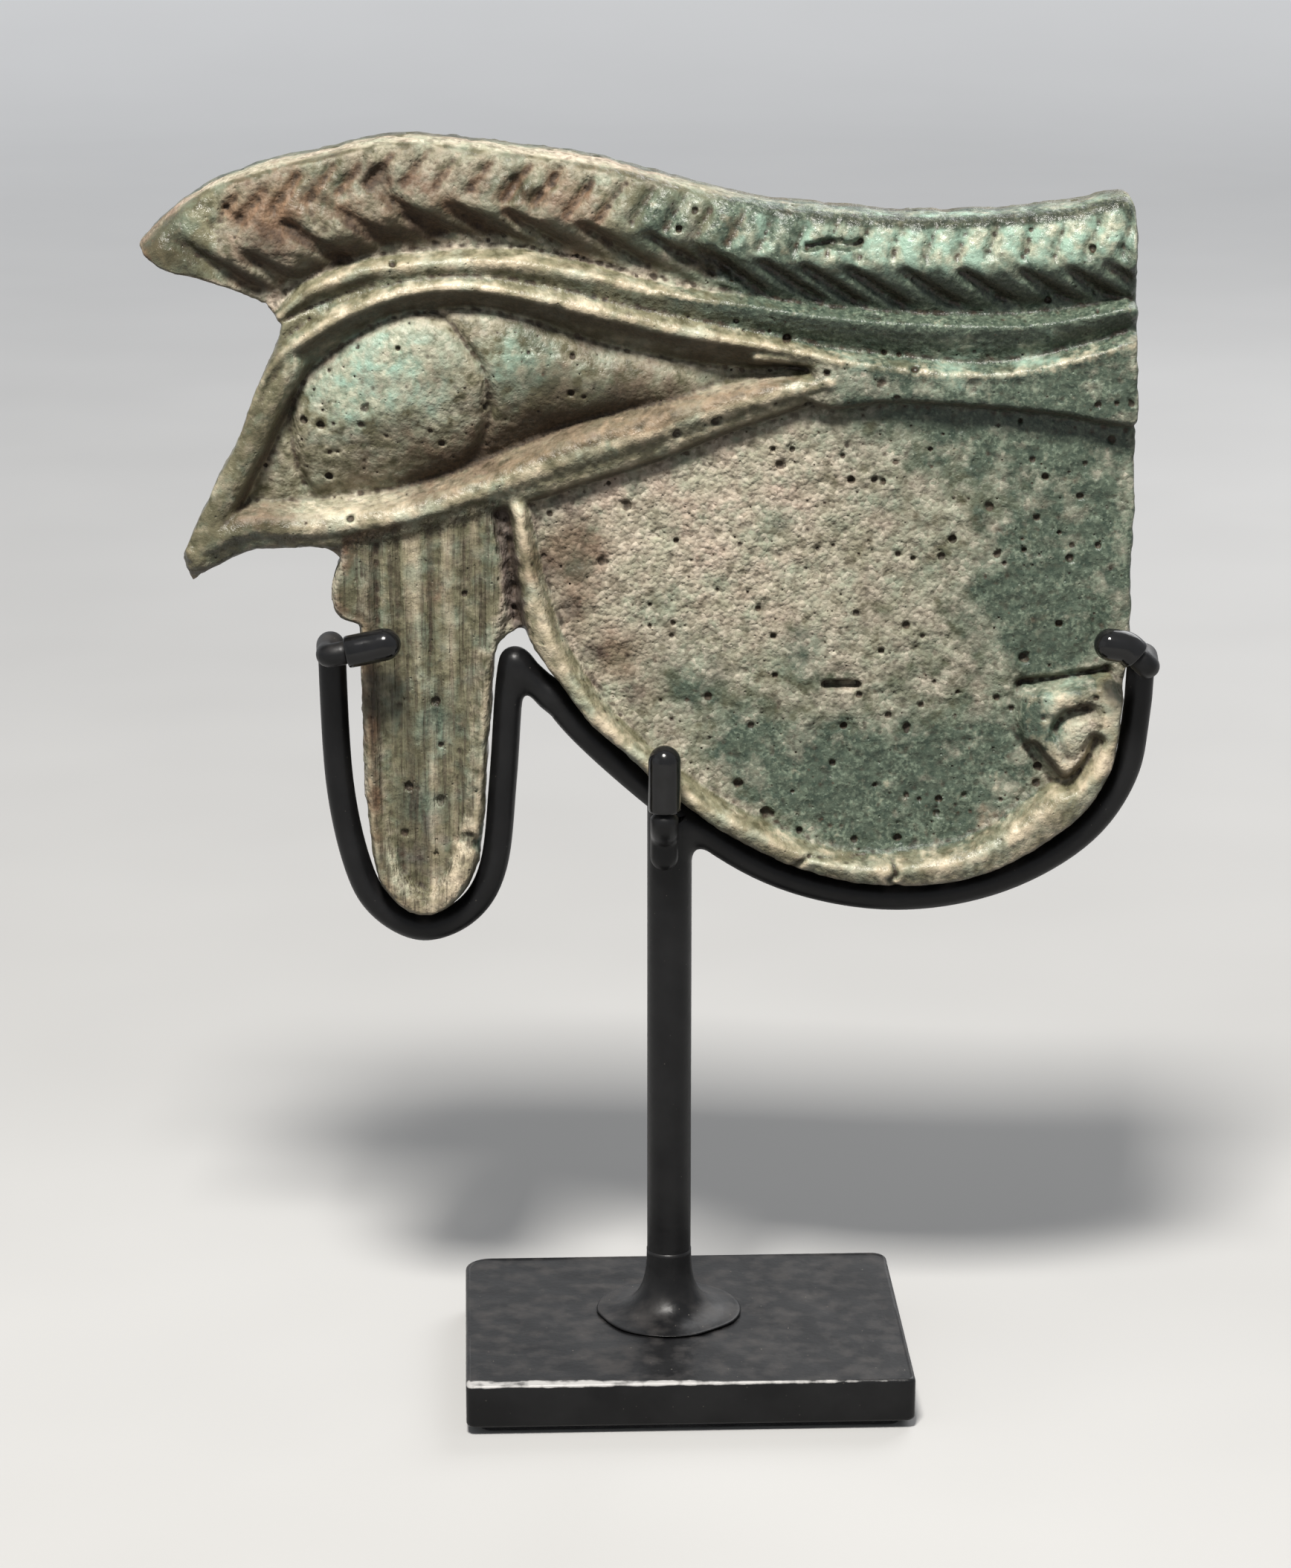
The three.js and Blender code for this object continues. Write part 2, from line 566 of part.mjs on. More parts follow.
function leftPath() {
  const beside = besideEdge(DROP_EDGE_SHARES);
  const top = beside[0].clone().lerp(beside[1], WIRE_START_SHARE);
  const leg = beside[beside.length - 2];
  const corner = new THREE.Vector3(leg.x, WIRE_Y, heightOf(LEFT_CORNER_SHARE));
  return [top, ...beside.slice(1, -1), corner];
}

function leftProngPath() {
  const path = leftPath();
  const corner = path[path.length - 1];
  const front = corner.clone().setY(PRONG_Y);
  const angle = THREE.MathUtils.degToRad(LEFT_PRONG_RISE_DEGREES);
  const along = new THREE.Vector3(Math.cos(angle), 0, Math.sin(angle));
  const start = front.clone().addScaledVector(along, PRONG_BEND);
  return { corner, front, start, tip: start.clone().addScaledVector(along, SLEEVE_LENGTH) };
}

function rightPath() {
  const beside = besideEdge(CURL_EDGE_SHARES);
  const leg = beside[0];
  const corner = new THREE.Vector3(leg.x, WIRE_Y, heightOf(RIGHT_CORNER_SHARE));
  return [corner, ...beside.slice(0, -1)];
}

function rightProngPath() {
  const corner = rightPath()[0];
  const front = corner.clone().setY(PRONG_Y);
  const bend = mountSpot(RIGHT_BEND_SHARES, PRONG_Y);
  const start = front.clone().lerp(bend, RIGHT_START_SHARE);
  return { corner, front, start, bend, tip: mountSpot(RIGHT_PRONG_SHARES, PRONG_Y) };
}

// Where the right wire passes over the stem
function wireOverStem() {
  const curve = new THREE.CatmullRomCurve3(rightPath(), false, 'centripetal');
  const away = (at) => Math.abs(at.x - STEM_OFFSET);
  return curve.getPoints(WIRE_STEPS * 2).reduce((best, at) => (away(at) < away(best) ? at : best));
}

function leftCradleWire() {
  const { corner, front, start, tip } = leftProngPath();
  const loop = roundTube(leftPath(), WIRE_RADIUS, WIRE_STEPS);
  const bend = rod([corner, front, start], WIRE_RADIUS);
  return join([loop, ballAt(corner, WIRE_RADIUS), bend, prong([start, tip])]);
}

function rightCradleWire() {
  const { corner, front, start, bend, tip } = rightProngPath();
  const arc = roundTube(rightPath(), WIRE_RADIUS, WIRE_STEPS);
  const turn = rod([corner, front, start], WIRE_RADIUS);
  return join([arc, ballAt(corner, WIRE_RADIUS), turn, prong([start, bend, tip])]);
}

function centreProngPath() {
  const edge = heightOf(CENTRE_EDGE_SHARE);
  const rootY = STEM_SETBACK - STEM_RADIUS - CLEARANCE - WIRE_RADIUS;
  const start = new THREE.Vector3(STEM_OFFSET + CENTRE_PRONG_OFFSET, PRONG_Y, edge - WIRE_DIAMETER);
  const low = start.clone().set(start.x, rootY, start.z - PRONG_BEND);
  const root = low.clone().setZ(low.z - CENTRE_ROOT_LENGTH);
  return { root, low, start, tip: start.clone().setZ(heightOf(CENTRE_TIP_SHARE)) };
}

function centreProng() {
  const { root, low, start, tip } = centreProngPath();
  return rod([root, low, start], WIRE_RADIUS).add(ballAt(start, WIRE_RADIUS)).add(prong([start, tip]));
}

function stem() {
  const height = wireOverStem().z - WIRE_RADIUS - BASE_TOP;
  const post = new THREE.CylinderGeometry(STEM_RADIUS, STEM_RADIUS, height, ROUND_SIDES);
  post.rotateX(Math.PI / 2);
  post.translate(STEM_OFFSET, STEM_SETBACK, BASE_TOP + height / 2);
  return solidOf(post).subtract(roundTube(rightPath(), WIRE_RADIUS + CLEARANCE, WIRE_STEPS));
}

// Filler ring that sweeps from the plate up to the stem
function stemFoot() {
  const bore = STEM_RADIUS + CLEARANCE;
  const neck = bore + FOOT_RIM;
  const profile = [[bore, 0], [FOOT_RADIUS, 0], [FOOT_RADIUS, FOOT_RIM]];
  for (let i = 1; i <= FOOT_STEPS; i += 1) {
    const share = i / FOOT_STEPS;
    const radius = neck + (FOOT_RADIUS - neck) * (1 - share) ** 2;
    profile.push([radius, FOOT_RIM + (FOOT_HEIGHT - FOOT_RIM) * share ** 2]);
  }
  profile.push([bore, FOOT_HEIGHT], [bore, 0]);
  const ring = new THREE.LatheGeometry(profile.map(([x, y]) => new THREE.Vector2(x, y)), ROUND_SIDES);
  ring.rotateX(Math.PI / 2);
  ring.translate(STEM_OFFSET, STEM_SETBACK, BASE_TOP);
  return solidOf(ring);
}

// Braze in the corner between the stem's right side and the wire above it
function stemHeadBraze() {
  const over = wireOverStem();
  const side = STEM_OFFSET + STEM_RADIUS + CLEARANCE;
  const shape = new THREE.Shape();
  const low = over.z - HEAD_HEIGHT - WIRE_RADIUS;
  shape.moveTo(side, low);
  shape.lineTo(side, over.z - WIRE_RADIUS);
  shape.lineTo(side + HEAD_REACH, over.z - HEAD_REACH);
  shape.quadraticCurveTo(side + HEAD_RIM, over.z - HEAD_HEIGHT, side + HEAD_RIM, low);
  const options = { depth: WIRE_DIAMETER, bevelEnabled: false, curveSegments: CORNER_STEPS };
  const wedge = new THREE.ExtrudeGeometry(shape, options);
  wedge.rotateX(Math.PI / 2);
  wedge.translate(0, STEM_SETBACK + WIRE_RADIUS, 0);
  return solidOf(wedge).subtract(roundTube(rightPath(), WIRE_RADIUS + CLEARANCE, WIRE_STEPS));
}

// Braze between the top of the left wire and the end of the right one
function notchBraze() {
  const left = leftPath()[0];
  const rightLine = rightPath();
  const right = rightLine[rightLine.length - 1];
  const lower = leftPath()[1];
  const middle = left.clone().lerp(lower, NOTCH_BRAZE_SHARE).lerp(right, 0.5);
  const clear = WIRE_RADIUS + CLEARANCE;
  const wires = roundTube(leftPath(), clear, WIRE_STEPS).add(roundTube(rightLine, clear, WIRE_STEPS));
  return ballAt(middle, NOTCH_BRAZE_RADIUS).subtract(wires);
}

function roundedRectangle(width, depth, corner) {
  const shape = new THREE.Shape();
  const x = width / 2;
  const y = depth / 2;
  shape.moveTo(-x + corner, -y);
  shape.lineTo(x - corner, -y);
  shape.absarc(x - corner, -y + corner, corner, -Math.PI / 2, 0);
  shape.lineTo(x, y - corner);
  shape.absarc(x - corner, y - corner, corner, 0, Math.PI / 2);
  shape.lineTo(-x + corner, y);
  shape.absarc(-x + corner, y - corner, corner, Math.PI / 2, Math.PI);
  shape.lineTo(-x, -y + corner);
  shape.absarc(-x + corner, -y + corner, corner, Math.PI, Math.PI * 1.5);
  return shape;
}

function basePlate() {
  const shape = roundedRectangle(BASE_WIDTH, BASE_DEPTH, BASE_CORNER);
  const options = { depth: BASE_THICKNESS - BASE_EDGE * 2, curveSegments: CORNER_STEPS };
  options.bevelSegments = EDGE_BEVEL_STEPS;
  options.bevelThickness = BASE_EDGE;
  options.bevelSize = BASE_EDGE;
  options.bevelOffset = -BASE_EDGE;
  const block = new THREE.ExtrudeGeometry(shape, options);
  block.translate(0, 0, FELT_THICKNESS + BASE_EDGE);
  return solidOf(block);
}

function baseFelt() {
  const shape = roundedRectangle(BASE_WIDTH - FELT_INSET * 2, BASE_DEPTH - FELT_INSET * 2, BASE_CORNER);
  const options = { depth: FELT_THICKNESS, bevelEnabled: false, curveSegments: CORNER_STEPS };
  return solidOf(new THREE.ExtrudeGeometry(shape, options));
}

// Assembly
const amulet = new THREE.Group();
amulet.position.set(EYE_OFFSET, BACK_Y, EYE_REST_HEIGHT);
amulet.add(part('amulet_body', amuletBody(), faience));

const base = new THREE.Group();
base.rotation.z = THREE.MathUtils.degToRad(BASE_TURN_DEGREES);
base.add(part('base_plate', basePlate(), blackMetal));
base.add(part('base_felt', baseFelt(), felt));

const leftEnd = leftProngPath();
const rightEnd = rightProngPath();
const centreEnd = centreProngPath();
const mount = new THREE.Group();
mount.add(base);
mount.add(part('stem', stem(), blackMetal));
mount.add(part('stem_foot_fillet', stemFoot(), filler));
mount.add(part('stem_head_braze', stemHeadBraze(), filler));
mount.add(part('left_cradle_wire', leftCradleWire(), blackMetal));
mount.add(part('right_cradle_wire', rightCradleWire(), blackMetal));
mount.add(part('notch_braze', notchBraze(), filler));
mount.add(part('centre_prong', centreProng(), blackMetal));
const centreStart = centreEnd.start.clone().setZ(centreEnd.start.z + WIRE_RADIUS);
const sleeves = {
  left_prong_sleeve: [leftEnd.start, leftEnd.tip],
  right_prong_sleeve: [rightEnd.start, rightEnd.bend, rightEnd.tip],
  centre_prong_sleeve: [centreStart, centreEnd.tip],
};
for (const [name, path] of Object.entries(sleeves)) {
  mount.add(part(name, sleeve(shortened(path)), blackSleeve));
}

const group = new THREE.Group();
group.add(mount);
group.add(amulet);

export default group;
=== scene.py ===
import math

import bpy
import numpy as np
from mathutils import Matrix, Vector


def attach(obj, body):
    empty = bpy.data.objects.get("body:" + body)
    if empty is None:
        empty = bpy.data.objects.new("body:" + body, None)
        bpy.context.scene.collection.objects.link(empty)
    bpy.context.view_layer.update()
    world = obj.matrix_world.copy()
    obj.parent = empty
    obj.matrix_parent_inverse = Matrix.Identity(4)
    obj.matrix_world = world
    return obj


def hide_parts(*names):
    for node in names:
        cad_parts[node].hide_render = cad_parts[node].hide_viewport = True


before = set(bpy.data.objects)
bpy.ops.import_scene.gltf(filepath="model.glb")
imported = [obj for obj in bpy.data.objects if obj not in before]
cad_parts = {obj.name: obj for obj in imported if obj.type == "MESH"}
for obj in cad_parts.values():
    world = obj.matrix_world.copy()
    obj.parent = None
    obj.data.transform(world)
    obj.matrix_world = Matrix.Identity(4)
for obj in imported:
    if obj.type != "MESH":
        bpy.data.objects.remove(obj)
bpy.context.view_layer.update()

# Wedjat eye amulet of glazed faience on its blackened display mount: the finished surfaces.
# Sizes are in millimetres, as the model has them, and become metres when a mesh is made.
MM = 0.001

# Driving sizes of the amulet
EYE_WIDTH = 90
EYE_HEIGHT = 72.5
EYE_REST_HEIGHT = 45.5
EYE_OFFSET = -3.7

# Thickness of the amulet at each feature, measured from its flat back
BROW_LEVEL = 8
RIM_LEVEL = 7.6
TAIL_LEVEL = 7.1
FOLD_LEVEL = 7.1
CHANNEL_LEVEL = 5.3
DROP_LEVEL = 6.2
FIELD_LEVEL = 5.2
SOCKET_LEVEL = 3.7
IRIS_RISE = 0.3

# Driving sizes of the mount
BASE_WIDTH = 42
BASE_DEPTH = 31.5
BASE_THICKNESS = 4.3
BASE_TURN_DEGREES = 2.3
FELT_THICKNESS = 0.8
FELT_INSET = 1.2
STEM_DIAMETER = 4.2
STEM_OFFSET = -1.4
STEM_SETBACK = 2
CENTRE_PRONG_OFFSET = -0.5
FOOT_RADIUS = 7
FOOT_HEIGHT = 6.4
WIRE_DIAMETER = 2.6
PRONG_DIAMETER = 1.5
SLEEVE_DIAMETER = 3
SLEEVE_WALL = 0.55
SLEEVE_LENGTH = 5.4
PRONG_BEND = 1.5
CENTRE_ROOT_LENGTH = 3.5
CLEARANCE = 0.3

# The outlines were read from a little above the amulet, where its top stands nearer
KEYSTONE_SHARE = 0.05
VIEW_AXIS_SHARE = 0.508
WIDEST_SHARE = 0.88

# Edge of the amulet, clockwise from the tip of the brow, as shares of its width and height
BROW_TOP_SHARES = [
    [0, 0.871], [0.063, 0.942], [0.156, 0.982], [0.242, 1.005], [0.296, 1.006], [0.412, 0.988],
    [0.49, 0.971], [0.568, 0.943], [0.646, 0.923], [0.723, 0.913], [0.801, 0.909], [0.878, 0.914],
    [0.94, 0.922], [0.976, 0.934], [0.993, 0.933], [1, 0.915],
]
RIGHT_SIDE_SHARES = [[1, 0.915], [1, 0.654], [0.993, 0.372], [0.989, 0.31]]
CURL_EDGE_SHARES = [
    [0.989, 0.31], [0.982, 0.239], [0.974, 0.187], [0.94, 0.121], [0.871, 0.067], [0.792, 0.042],
    [0.714, 0.045], [0.63, 0.077], [0.545, 0.151], [0.46, 0.246], [0.432, 0.29], [0.395, 0.356],
]
NOTCH_SHARES = [[0.395, 0.356], [0.386, 0.368], [0.374, 0.364], [0.361, 0.35]]
DROP_EDGE_SHARES = [
    [0.361, 0.35], [0.354, 0.291], [0.348, 0.171], [0.339, 0.065], [0.318, 0.018], [0.286, 0.001],
    [0.256, 0.021], [0.237, 0.065], [0.228, 0.171], [0.222, 0.334], [0.222, 0.378],
]
BUMP_SHARES = [[0.222, 0.378], [0.202, 0.388], [0.194, 0.413], [0.197, 0.439], [0.203, 0.461]]
LID_UNDERSIDE_SHARES = [[0.203, 0.461], [0.18, 0.477], [0.125, 0.475], [0.094, 0.464], [0.055, 0.434]]
LEFT_SIDE_SHARES = [[0.055, 0.434], [0.048, 0.46], [0.052, 0.484], [0.101, 0.621], [0.145, 0.767]]
BROW_UNDERSIDE_SHARES = [
    [0.145, 0.767], [0.135, 0.781], [0.119, 0.798], [0.09, 0.814], [0.062, 0.828], [0.024, 0.842],
    [0, 0.871],
]
BROW_LOWER_SHARES = [
    [1, 0.8], [0.985, 0.797], [0.76, 0.783], [0.608, 0.802], [0.508, 0.836], [0.437, 0.856], [0.367, 0.874],
    [0.314, 0.878], [0.247, 0.86], [0.191, 0.834], [0.119, 0.798],
]

# Bands that stand up from the plate: places along the middle, with the width there as a third share
FOLD_SHARES = [
    [0.14, 0.775, 0.018], [0.168, 0.808, 0.03], [0.203, 0.828, 0.034], [0.237, 0.84, 0.034],
    [0.293, 0.846, 0.037], [0.34, 0.849, 0.041], [0.384, 0.847, 0.043], [0.44, 0.835, 0.034],
    [0.495, 0.819, 0.028], [0.55, 0.805, 0.024], [0.605, 0.795, 0.022], [0.69, 0.779, 0.022],
    [0.788, 0.769, 0.022], [0.9, 0.769, 0.022], [0.99, 0.79, 0.022],
]
UPPER_LID_SHARES = [
    [0.068, 0.491, 0.034], [0.115, 0.621, 0.03], [0.147, 0.7, 0.03], [0.182, 0.738, 0.03],
    [0.225, 0.77, 0.03], [0.277, 0.794, 0.028], [0.337, 0.799, 0.028], [0.404, 0.782, 0.03],
    [0.458, 0.763, 0.034], [0.533, 0.74, 0.034], [0.608, 0.728, 0.026], [0.664, 0.721, 0.018],
    [0.7, 0.717, 0.01],
]
LEFT_LID_SHARES = [
    [0.064, 0.465, 0.032], [0.07, 0.495, 0.034], [0.094, 0.56, 0.034], [0.118, 0.621, 0.033],
    [0.136, 0.67, 0.03], [0.156, 0.716, 0.026],
]
LOWER_LID_SHARES = [
    [0.07, 0.478, 0.034], [0.112, 0.499, 0.034], [0.163, 0.499, 0.032], [0.213, 0.505, 0.032],
    [0.27, 0.517, 0.031], [0.326, 0.539, 0.031], [0.382, 0.564, 0.036], [0.456, 0.599, 0.041],
    [0.517, 0.624, 0.04], [0.576, 0.651, 0.035], [0.635, 0.673, 0.03], [0.69, 0.69, 0.02],
]
CURL_SHARES = [
    [0.382, 0.53, 0.018], [0.39, 0.458, 0.024], [0.401, 0.392, 0.03], [0.416, 0.343, 0.031],
    [0.45, 0.276, 0.028], [0.487, 0.226, 0.026], [0.527, 0.184, 0.026], [0.566, 0.145, 0.027],
    [0.609, 0.115, 0.026], [0.651, 0.088, 0.026], [0.693, 0.07, 0.027], [0.734, 0.061, 0.029],
    [0.778, 0.063, 0.034], [0.825, 0.072, 0.037], [0.863, 0.092, 0.041], [0.896, 0.12, 0.044],
    [0.929, 0.152, 0.043], [0.952, 0.187, 0.038], [0.967, 0.228, 0.032], [0.972, 0.272, 0.026],
    [0.965, 0.3, 0.02],
]
DROP_RIM_SHARES = [
    [0.345, 0.34, 0.016], [0.343, 0.291, 0.018], [0.337, 0.171, 0.02], [0.327, 0.075, 0.022],
    [0.309, 0.034, 0.024], [0.286, 0.02, 0.026], [0.265, 0.036, 0.024], [0.249, 0.075, 0.022],
    [0.24, 0.171, 0.018], [0.234, 0.334, 0.016], [0.226, 0.43, 0.014],
]
TAIL_CREST_SHARES = [
    [0.62, 0.728, 0.012], [0.691, 0.723, 0.014], [0.778, 0.71, 0.014], [0.834, 0.704, 0.014],
    [0.89, 0.709, 0.014], [0.946, 0.727, 0.014], [0.998, 0.744, 0.014],
]

# Filled outlines
TAIL_SHARES = [
    [0.655, 0.68], [0.691, 0.727], [0.778, 0.714], [0.834, 0.709], [0.89, 0.714], [0.946, 0.732],
    [1.02, 0.754], [1.02, 0.644], [0.909, 0.656], [0.834, 0.665], [0.751, 0.67], [0.694, 0.662],
]
EYE_OPENING_SHARES = [
    [0.085, 0.505], [0.129, 0.621], [0.157, 0.687], [0.191, 0.73], [0.236, 0.768], [0.284, 0.786],
    [0.34, 0.79], [0.397, 0.778], [0.456, 0.753], [0.56, 0.72], [0.67, 0.703], [0.56, 0.65], [0.45, 0.611],
    [0.382, 0.58], [0.326, 0.55], [0.27, 0.53], [0.2, 0.513], [0.13, 0.506],
]
CHANNEL_SHARES = [
    [0.13, 0.76], [0.2, 0.8], [0.3, 0.85], [0.4, 0.84], [0.56, 0.8], [0.7, 0.775], [0.85, 0.765],
    [1.02, 0.79], [1.02, 0.72], [0.84, 0.69], [0.7, 0.7], [0.6, 0.73], [0.42, 0.78], [0.3, 0.8],
    [0.2, 0.77], [0.15, 0.72],
]
DROP_NECK_SHARES = [[0.203, 0.461], [0.203, 0.5], [0.37, 0.56], [0.372, 0.42], [0.361, 0.35]]
IRIS_EDGE_SHARES = [
    [0.152, 0.669], [0.154, 0.621], [0.163, 0.57], [0.178, 0.539], [0.21, 0.532], [0.27, 0.55],
    [0.322, 0.574], [0.343, 0.612], [0.352, 0.66], [0.345, 0.712], [0.329, 0.742], [0.305, 0.775],
    [0.25, 0.79], [0.19, 0.75], [0.16, 0.71],
]
SPIRAL_SHARES = [
    [0.887, 0.299], [0.898, 0.297], [0.957, 0.309], [0.985, 0.29], [0.985, 0.249], [0.969, 0.2],
    [0.943, 0.168], [0.923, 0.17], [0.897, 0.208], [0.882, 0.25],
]

# Herringbone of the brow: its ridge line, the starts of the deep lower strokes, and the reach of both kinds
CHEVRON_SHARES = [
    [0.03, 0.87], [0.08, 0.885], [0.14, 0.91], [0.205, 0.932], [0.25, 0.942], [0.3, 0.936], [0.38, 0.915],
    [0.5, 0.885], [0.6, 0.86], [0.7, 0.848], [0.82, 0.846], [0.99, 0.85],
]
ROOF_SHARES = [
    [0.03, 0.868], [0.08, 0.868], [0.14, 0.868], [0.178, 0.88], [0.237, 0.905], [0.293, 0.925],
    [0.384, 0.915], [0.495, 0.896], [0.605, 0.861], [0.7, 0.85], [0.788, 0.843], [0.9, 0.843],
    [0.99, 0.848],
]
LOWER_STROKE_SHARES = [
    [0.043, 0.878], [0.108, 0.862], [0.152, 0.898], [0.204, 0.917], [0.25, 0.935], [0.309, 0.928],
    [0.367, 0.92], [0.445, 0.9], [0.51, 0.888], [0.562, 0.866], [0.622, 0.852], [0.664, 0.846],
    [0.71, 0.842], [0.763, 0.842], [0.82, 0.842], [0.881, 0.842], [0.927, 0.844], [0.966, 0.85],
]
LOWER_REACH_SHARES = [0.059, -0.05]
UPPER_STROKES = 29
UPPER_LEFT_REACH_SHARES = [0.036, 0.056]
UPPER_RIGHT_REACH_SHARES = [0.015, 0.052]

# Brow: where its worn left part ends; strokes' growth, width and depth there and in the sharp rest
WORN_SHARE = 0.36
LOWER_STROKE_WORN = (1.25, 2.3, 0.95)
LOWER_STROKE_SHARP = (1.05, 1.8, 1.05)
UPPER_WIDTH = 1.6
UPPER_DEPTH_WORN = 0.55
UPPER_DEPTH_SHARP = 0.7
BROW_REACH = 12

# Sections of the bands, from the right side to the left: half widths from the middle, and levels there
FOLD_SECTION = [-1, -0.6, -0.3, 0, 0.3, 0.5, 0.64], [5.9, 6.35, 6.85, FOLD_LEVEL, 6.95, 6.2, 5]
CURL_SECTION = [-1, -0.4, 0.3, 0.65, 1], [6.9, 7.3, RIM_LEVEL, 7.1, 5.9]
DROP_RIM_SECTION = [-1, -0.3, 0.4, 1], [6, 6.45, 6.55, 6.3]
TAIL_CREST_SECTION = [-1, -0.2, 0.3, 1], [6.95, 7.2, 7.25, 6.3]
UPPER_LID_SECTION = (
    [-1.2, -0.7, -0.2, 0.3, 0.65, 0.9, 1.12, 1.35, 1.65, 1.95],
    [4.2, 5, 5.7, 6.4, 7.05, 7.5, RIM_LEVEL, 7.5, 6.9, 5.9],
)
LOWER_LID_SECTION = (
    [-1.3, -1.1, -0.65, -0.42, -0.1, 0.3, 0.8, 1.25, 1.45],
    [5.6, 6.4, 6.8, 6.85, 7.3, RIM_LEVEL, 7.35, 6.7, 5.2],
)
LEFT_LID_SECTION = [-1.1, -0.8, -0.4, 0.1, 0.6, 1.1], [5, 6.6, 7.25, 7.5, 7.3, 6.5]
SPIRAL_LEVEL = 7.3

# Eyeball: the eye's corner in its outline, and for each height of the opening, where the ball is
# highest and how it is curved below and above that
CORNER_POINT = 10
BALL_LEVEL = 5.2
BALL_SWELL = 0.12
BALL_CREST = 0.72
BALL_LOWER_RADIUS = 0.72
BALL_UPPER_RADIUS = 0.22
BALL_REACH = 16
IRIS_LINE_DEPTH = 0.95

# Carved and broken lines
SPIRAL_TOP_SHARES = [[0.884, 0.298], [0.918, 0.302], [0.946, 0.309], [0.97, 0.3145]]
SPIRAL_HOOK_SHARES = [[0.919, 0.244], [0.922, 0.254], [0.931, 0.265], [0.951, 0.272]]
SPIRAL_VEE_SHARES = [[0.896, 0.22], [0.909, 0.198], [0.927, 0.175], [0.948, 0.198], [0.96, 0.23]]
SPIRAL_HEART_SHARES = [[0.921, 0.236], [0.934, 0.208], [0.954, 0.238]]
FOLD_LINE_SHARES = [[0.35, 0.862], [0.384, 0.86], [0.44, 0.848], [0.48, 0.838]]
DEPOSIT_SHARES = [[0.366, 0.52], [0.372, 0.47], [0.377, 0.42], [0.383, 0.375]]
BROW_CRACK_SHARES = [[0.67, 0.872], [0.69, 0.877], [0.71, 0.874], [0.722, 0.877]]
RIM_CRACK_SHARES = [[0.673, 0.084], [0.7, 0.079], [0.728, 0.078]]
RIM_SPLIT_SHARES = [[0.755, 0.075], [0.758, 0.06], [0.752, 0.052], [0.76, 0.042]]
RIM_CHIP_SHARES = [[0.67, 0.083], [0.661, 0.075], [0.655, 0.068]]

CARVED_LINES = [
    (SPIRAL_TOP_SHARES, 1.5, 1.8), (SPIRAL_HOOK_SHARES, 1.9, 1.7), (SPIRAL_VEE_SHARES, 2.2, 1.9),
    (SPIRAL_HEART_SHARES, 1, 0.5), (DEPOSIT_SHARES, 2.6, 0.9), (FOLD_LINE_SHARES, 0.9, 0.45),
]
BROKEN_LINES = [
    (BROW_CRACK_SHARES, 1.26, 0.8), (RIM_CRACK_SHARES, 0.84, 0.5), (RIM_SPLIT_SHARES, 0.98, 0.5),
    (RIM_CHIP_SHARES, 1.12, 0.5),
]

# Engraved lines of the drop: how far across it they lie, their width and depth in millimetres
FLUTES = [
    [0.145, 0.8, 0.3], [0.215, 0.7, 0.16], [0.29, 0.9, 0.2], [0.375, 0.8, 0.2], [0.45, 0.7, 0.14],
    [0.515, 0.8, 0.22], [0.6, 0.8, 0.26], [0.68, 0.7, 0.14], [0.775, 1, 0.28], [0.88, 0.8, 0.1],
]

# Pits and chips: place, radius and depth as shares of the eye's width
PIT_SHARES = [
    [0.488, 0.532, 0.0075, 0.005], [0.466, 0.46, 0.0065, 0.005], [0.601, 0.171, 0.007, 0.009],
    [0.631, 0.131, 0.008, 0.01], [0.77, 0.242, 0.006, 0.008], [0.751, 0.259, 0.005, 0.007],
    [0.769, 0.376, 0.0055, 0.007], [0.887, 0.335, 0.0065, 0.01], [0.861, 0.281, 0.005, 0.006],
    [0.802, 0.149, 0.005, 0.007], [0.8, 0.13, 0.005, 0.006], [0.719, 0.392, 0.005, 0.006],
    [0.954, 0.869, 0.005, 0.007], [0.717, 0.098, 0.005, 0.006], [0.644, 0.584, 0.006, 0.008],
    [0.96, 0.667, 0.005, 0.006], [0.979, 0.668, 0.004, 0.006], [0.994, 0.669, 0.005, 0.006],
    [0.745, 0.694, 0.007, 0.004], [0.836, 0.69, 0.009, 0.004], [0.735, 0.78, 0.011, 0.005],
    [0.853, 0.529, 0.006, 0.007], [0.9, 0.515, 0.005, 0.006], [0.861, 0.47, 0.005, 0.006],
    [0.298, 0.281, 0.006, 0.006], [0.304, 0.224, 0.004, 0.005], [0.272, 0.171, 0.006, 0.006],
    [0.303, 0.151, 0.007, 0.006], [0.268, 0.11, 0.005, 0.005], [0.328, 0.42, 0.004, 0.004],
    [0.228, 0.664, 0.006, 0.004], [0.224, 0.64, 0.005, 0.004], [0.349, 0.66, 0.006, 0.005],
    [0.193, 0.602, 0.004, 0.005], [0.2, 0.602, 0.003, 0.004], [0.58, 0.645, 0.007, 0.007],
    [0.54, 0.628, 0.007, 0.006], [0.9, 0.171, 0.006, 0.005], [0.905, 0.26, 0.003, 0.003],
]
SLOT_SHARES = [[0.69, 0.299], [0.72, 0.298]]
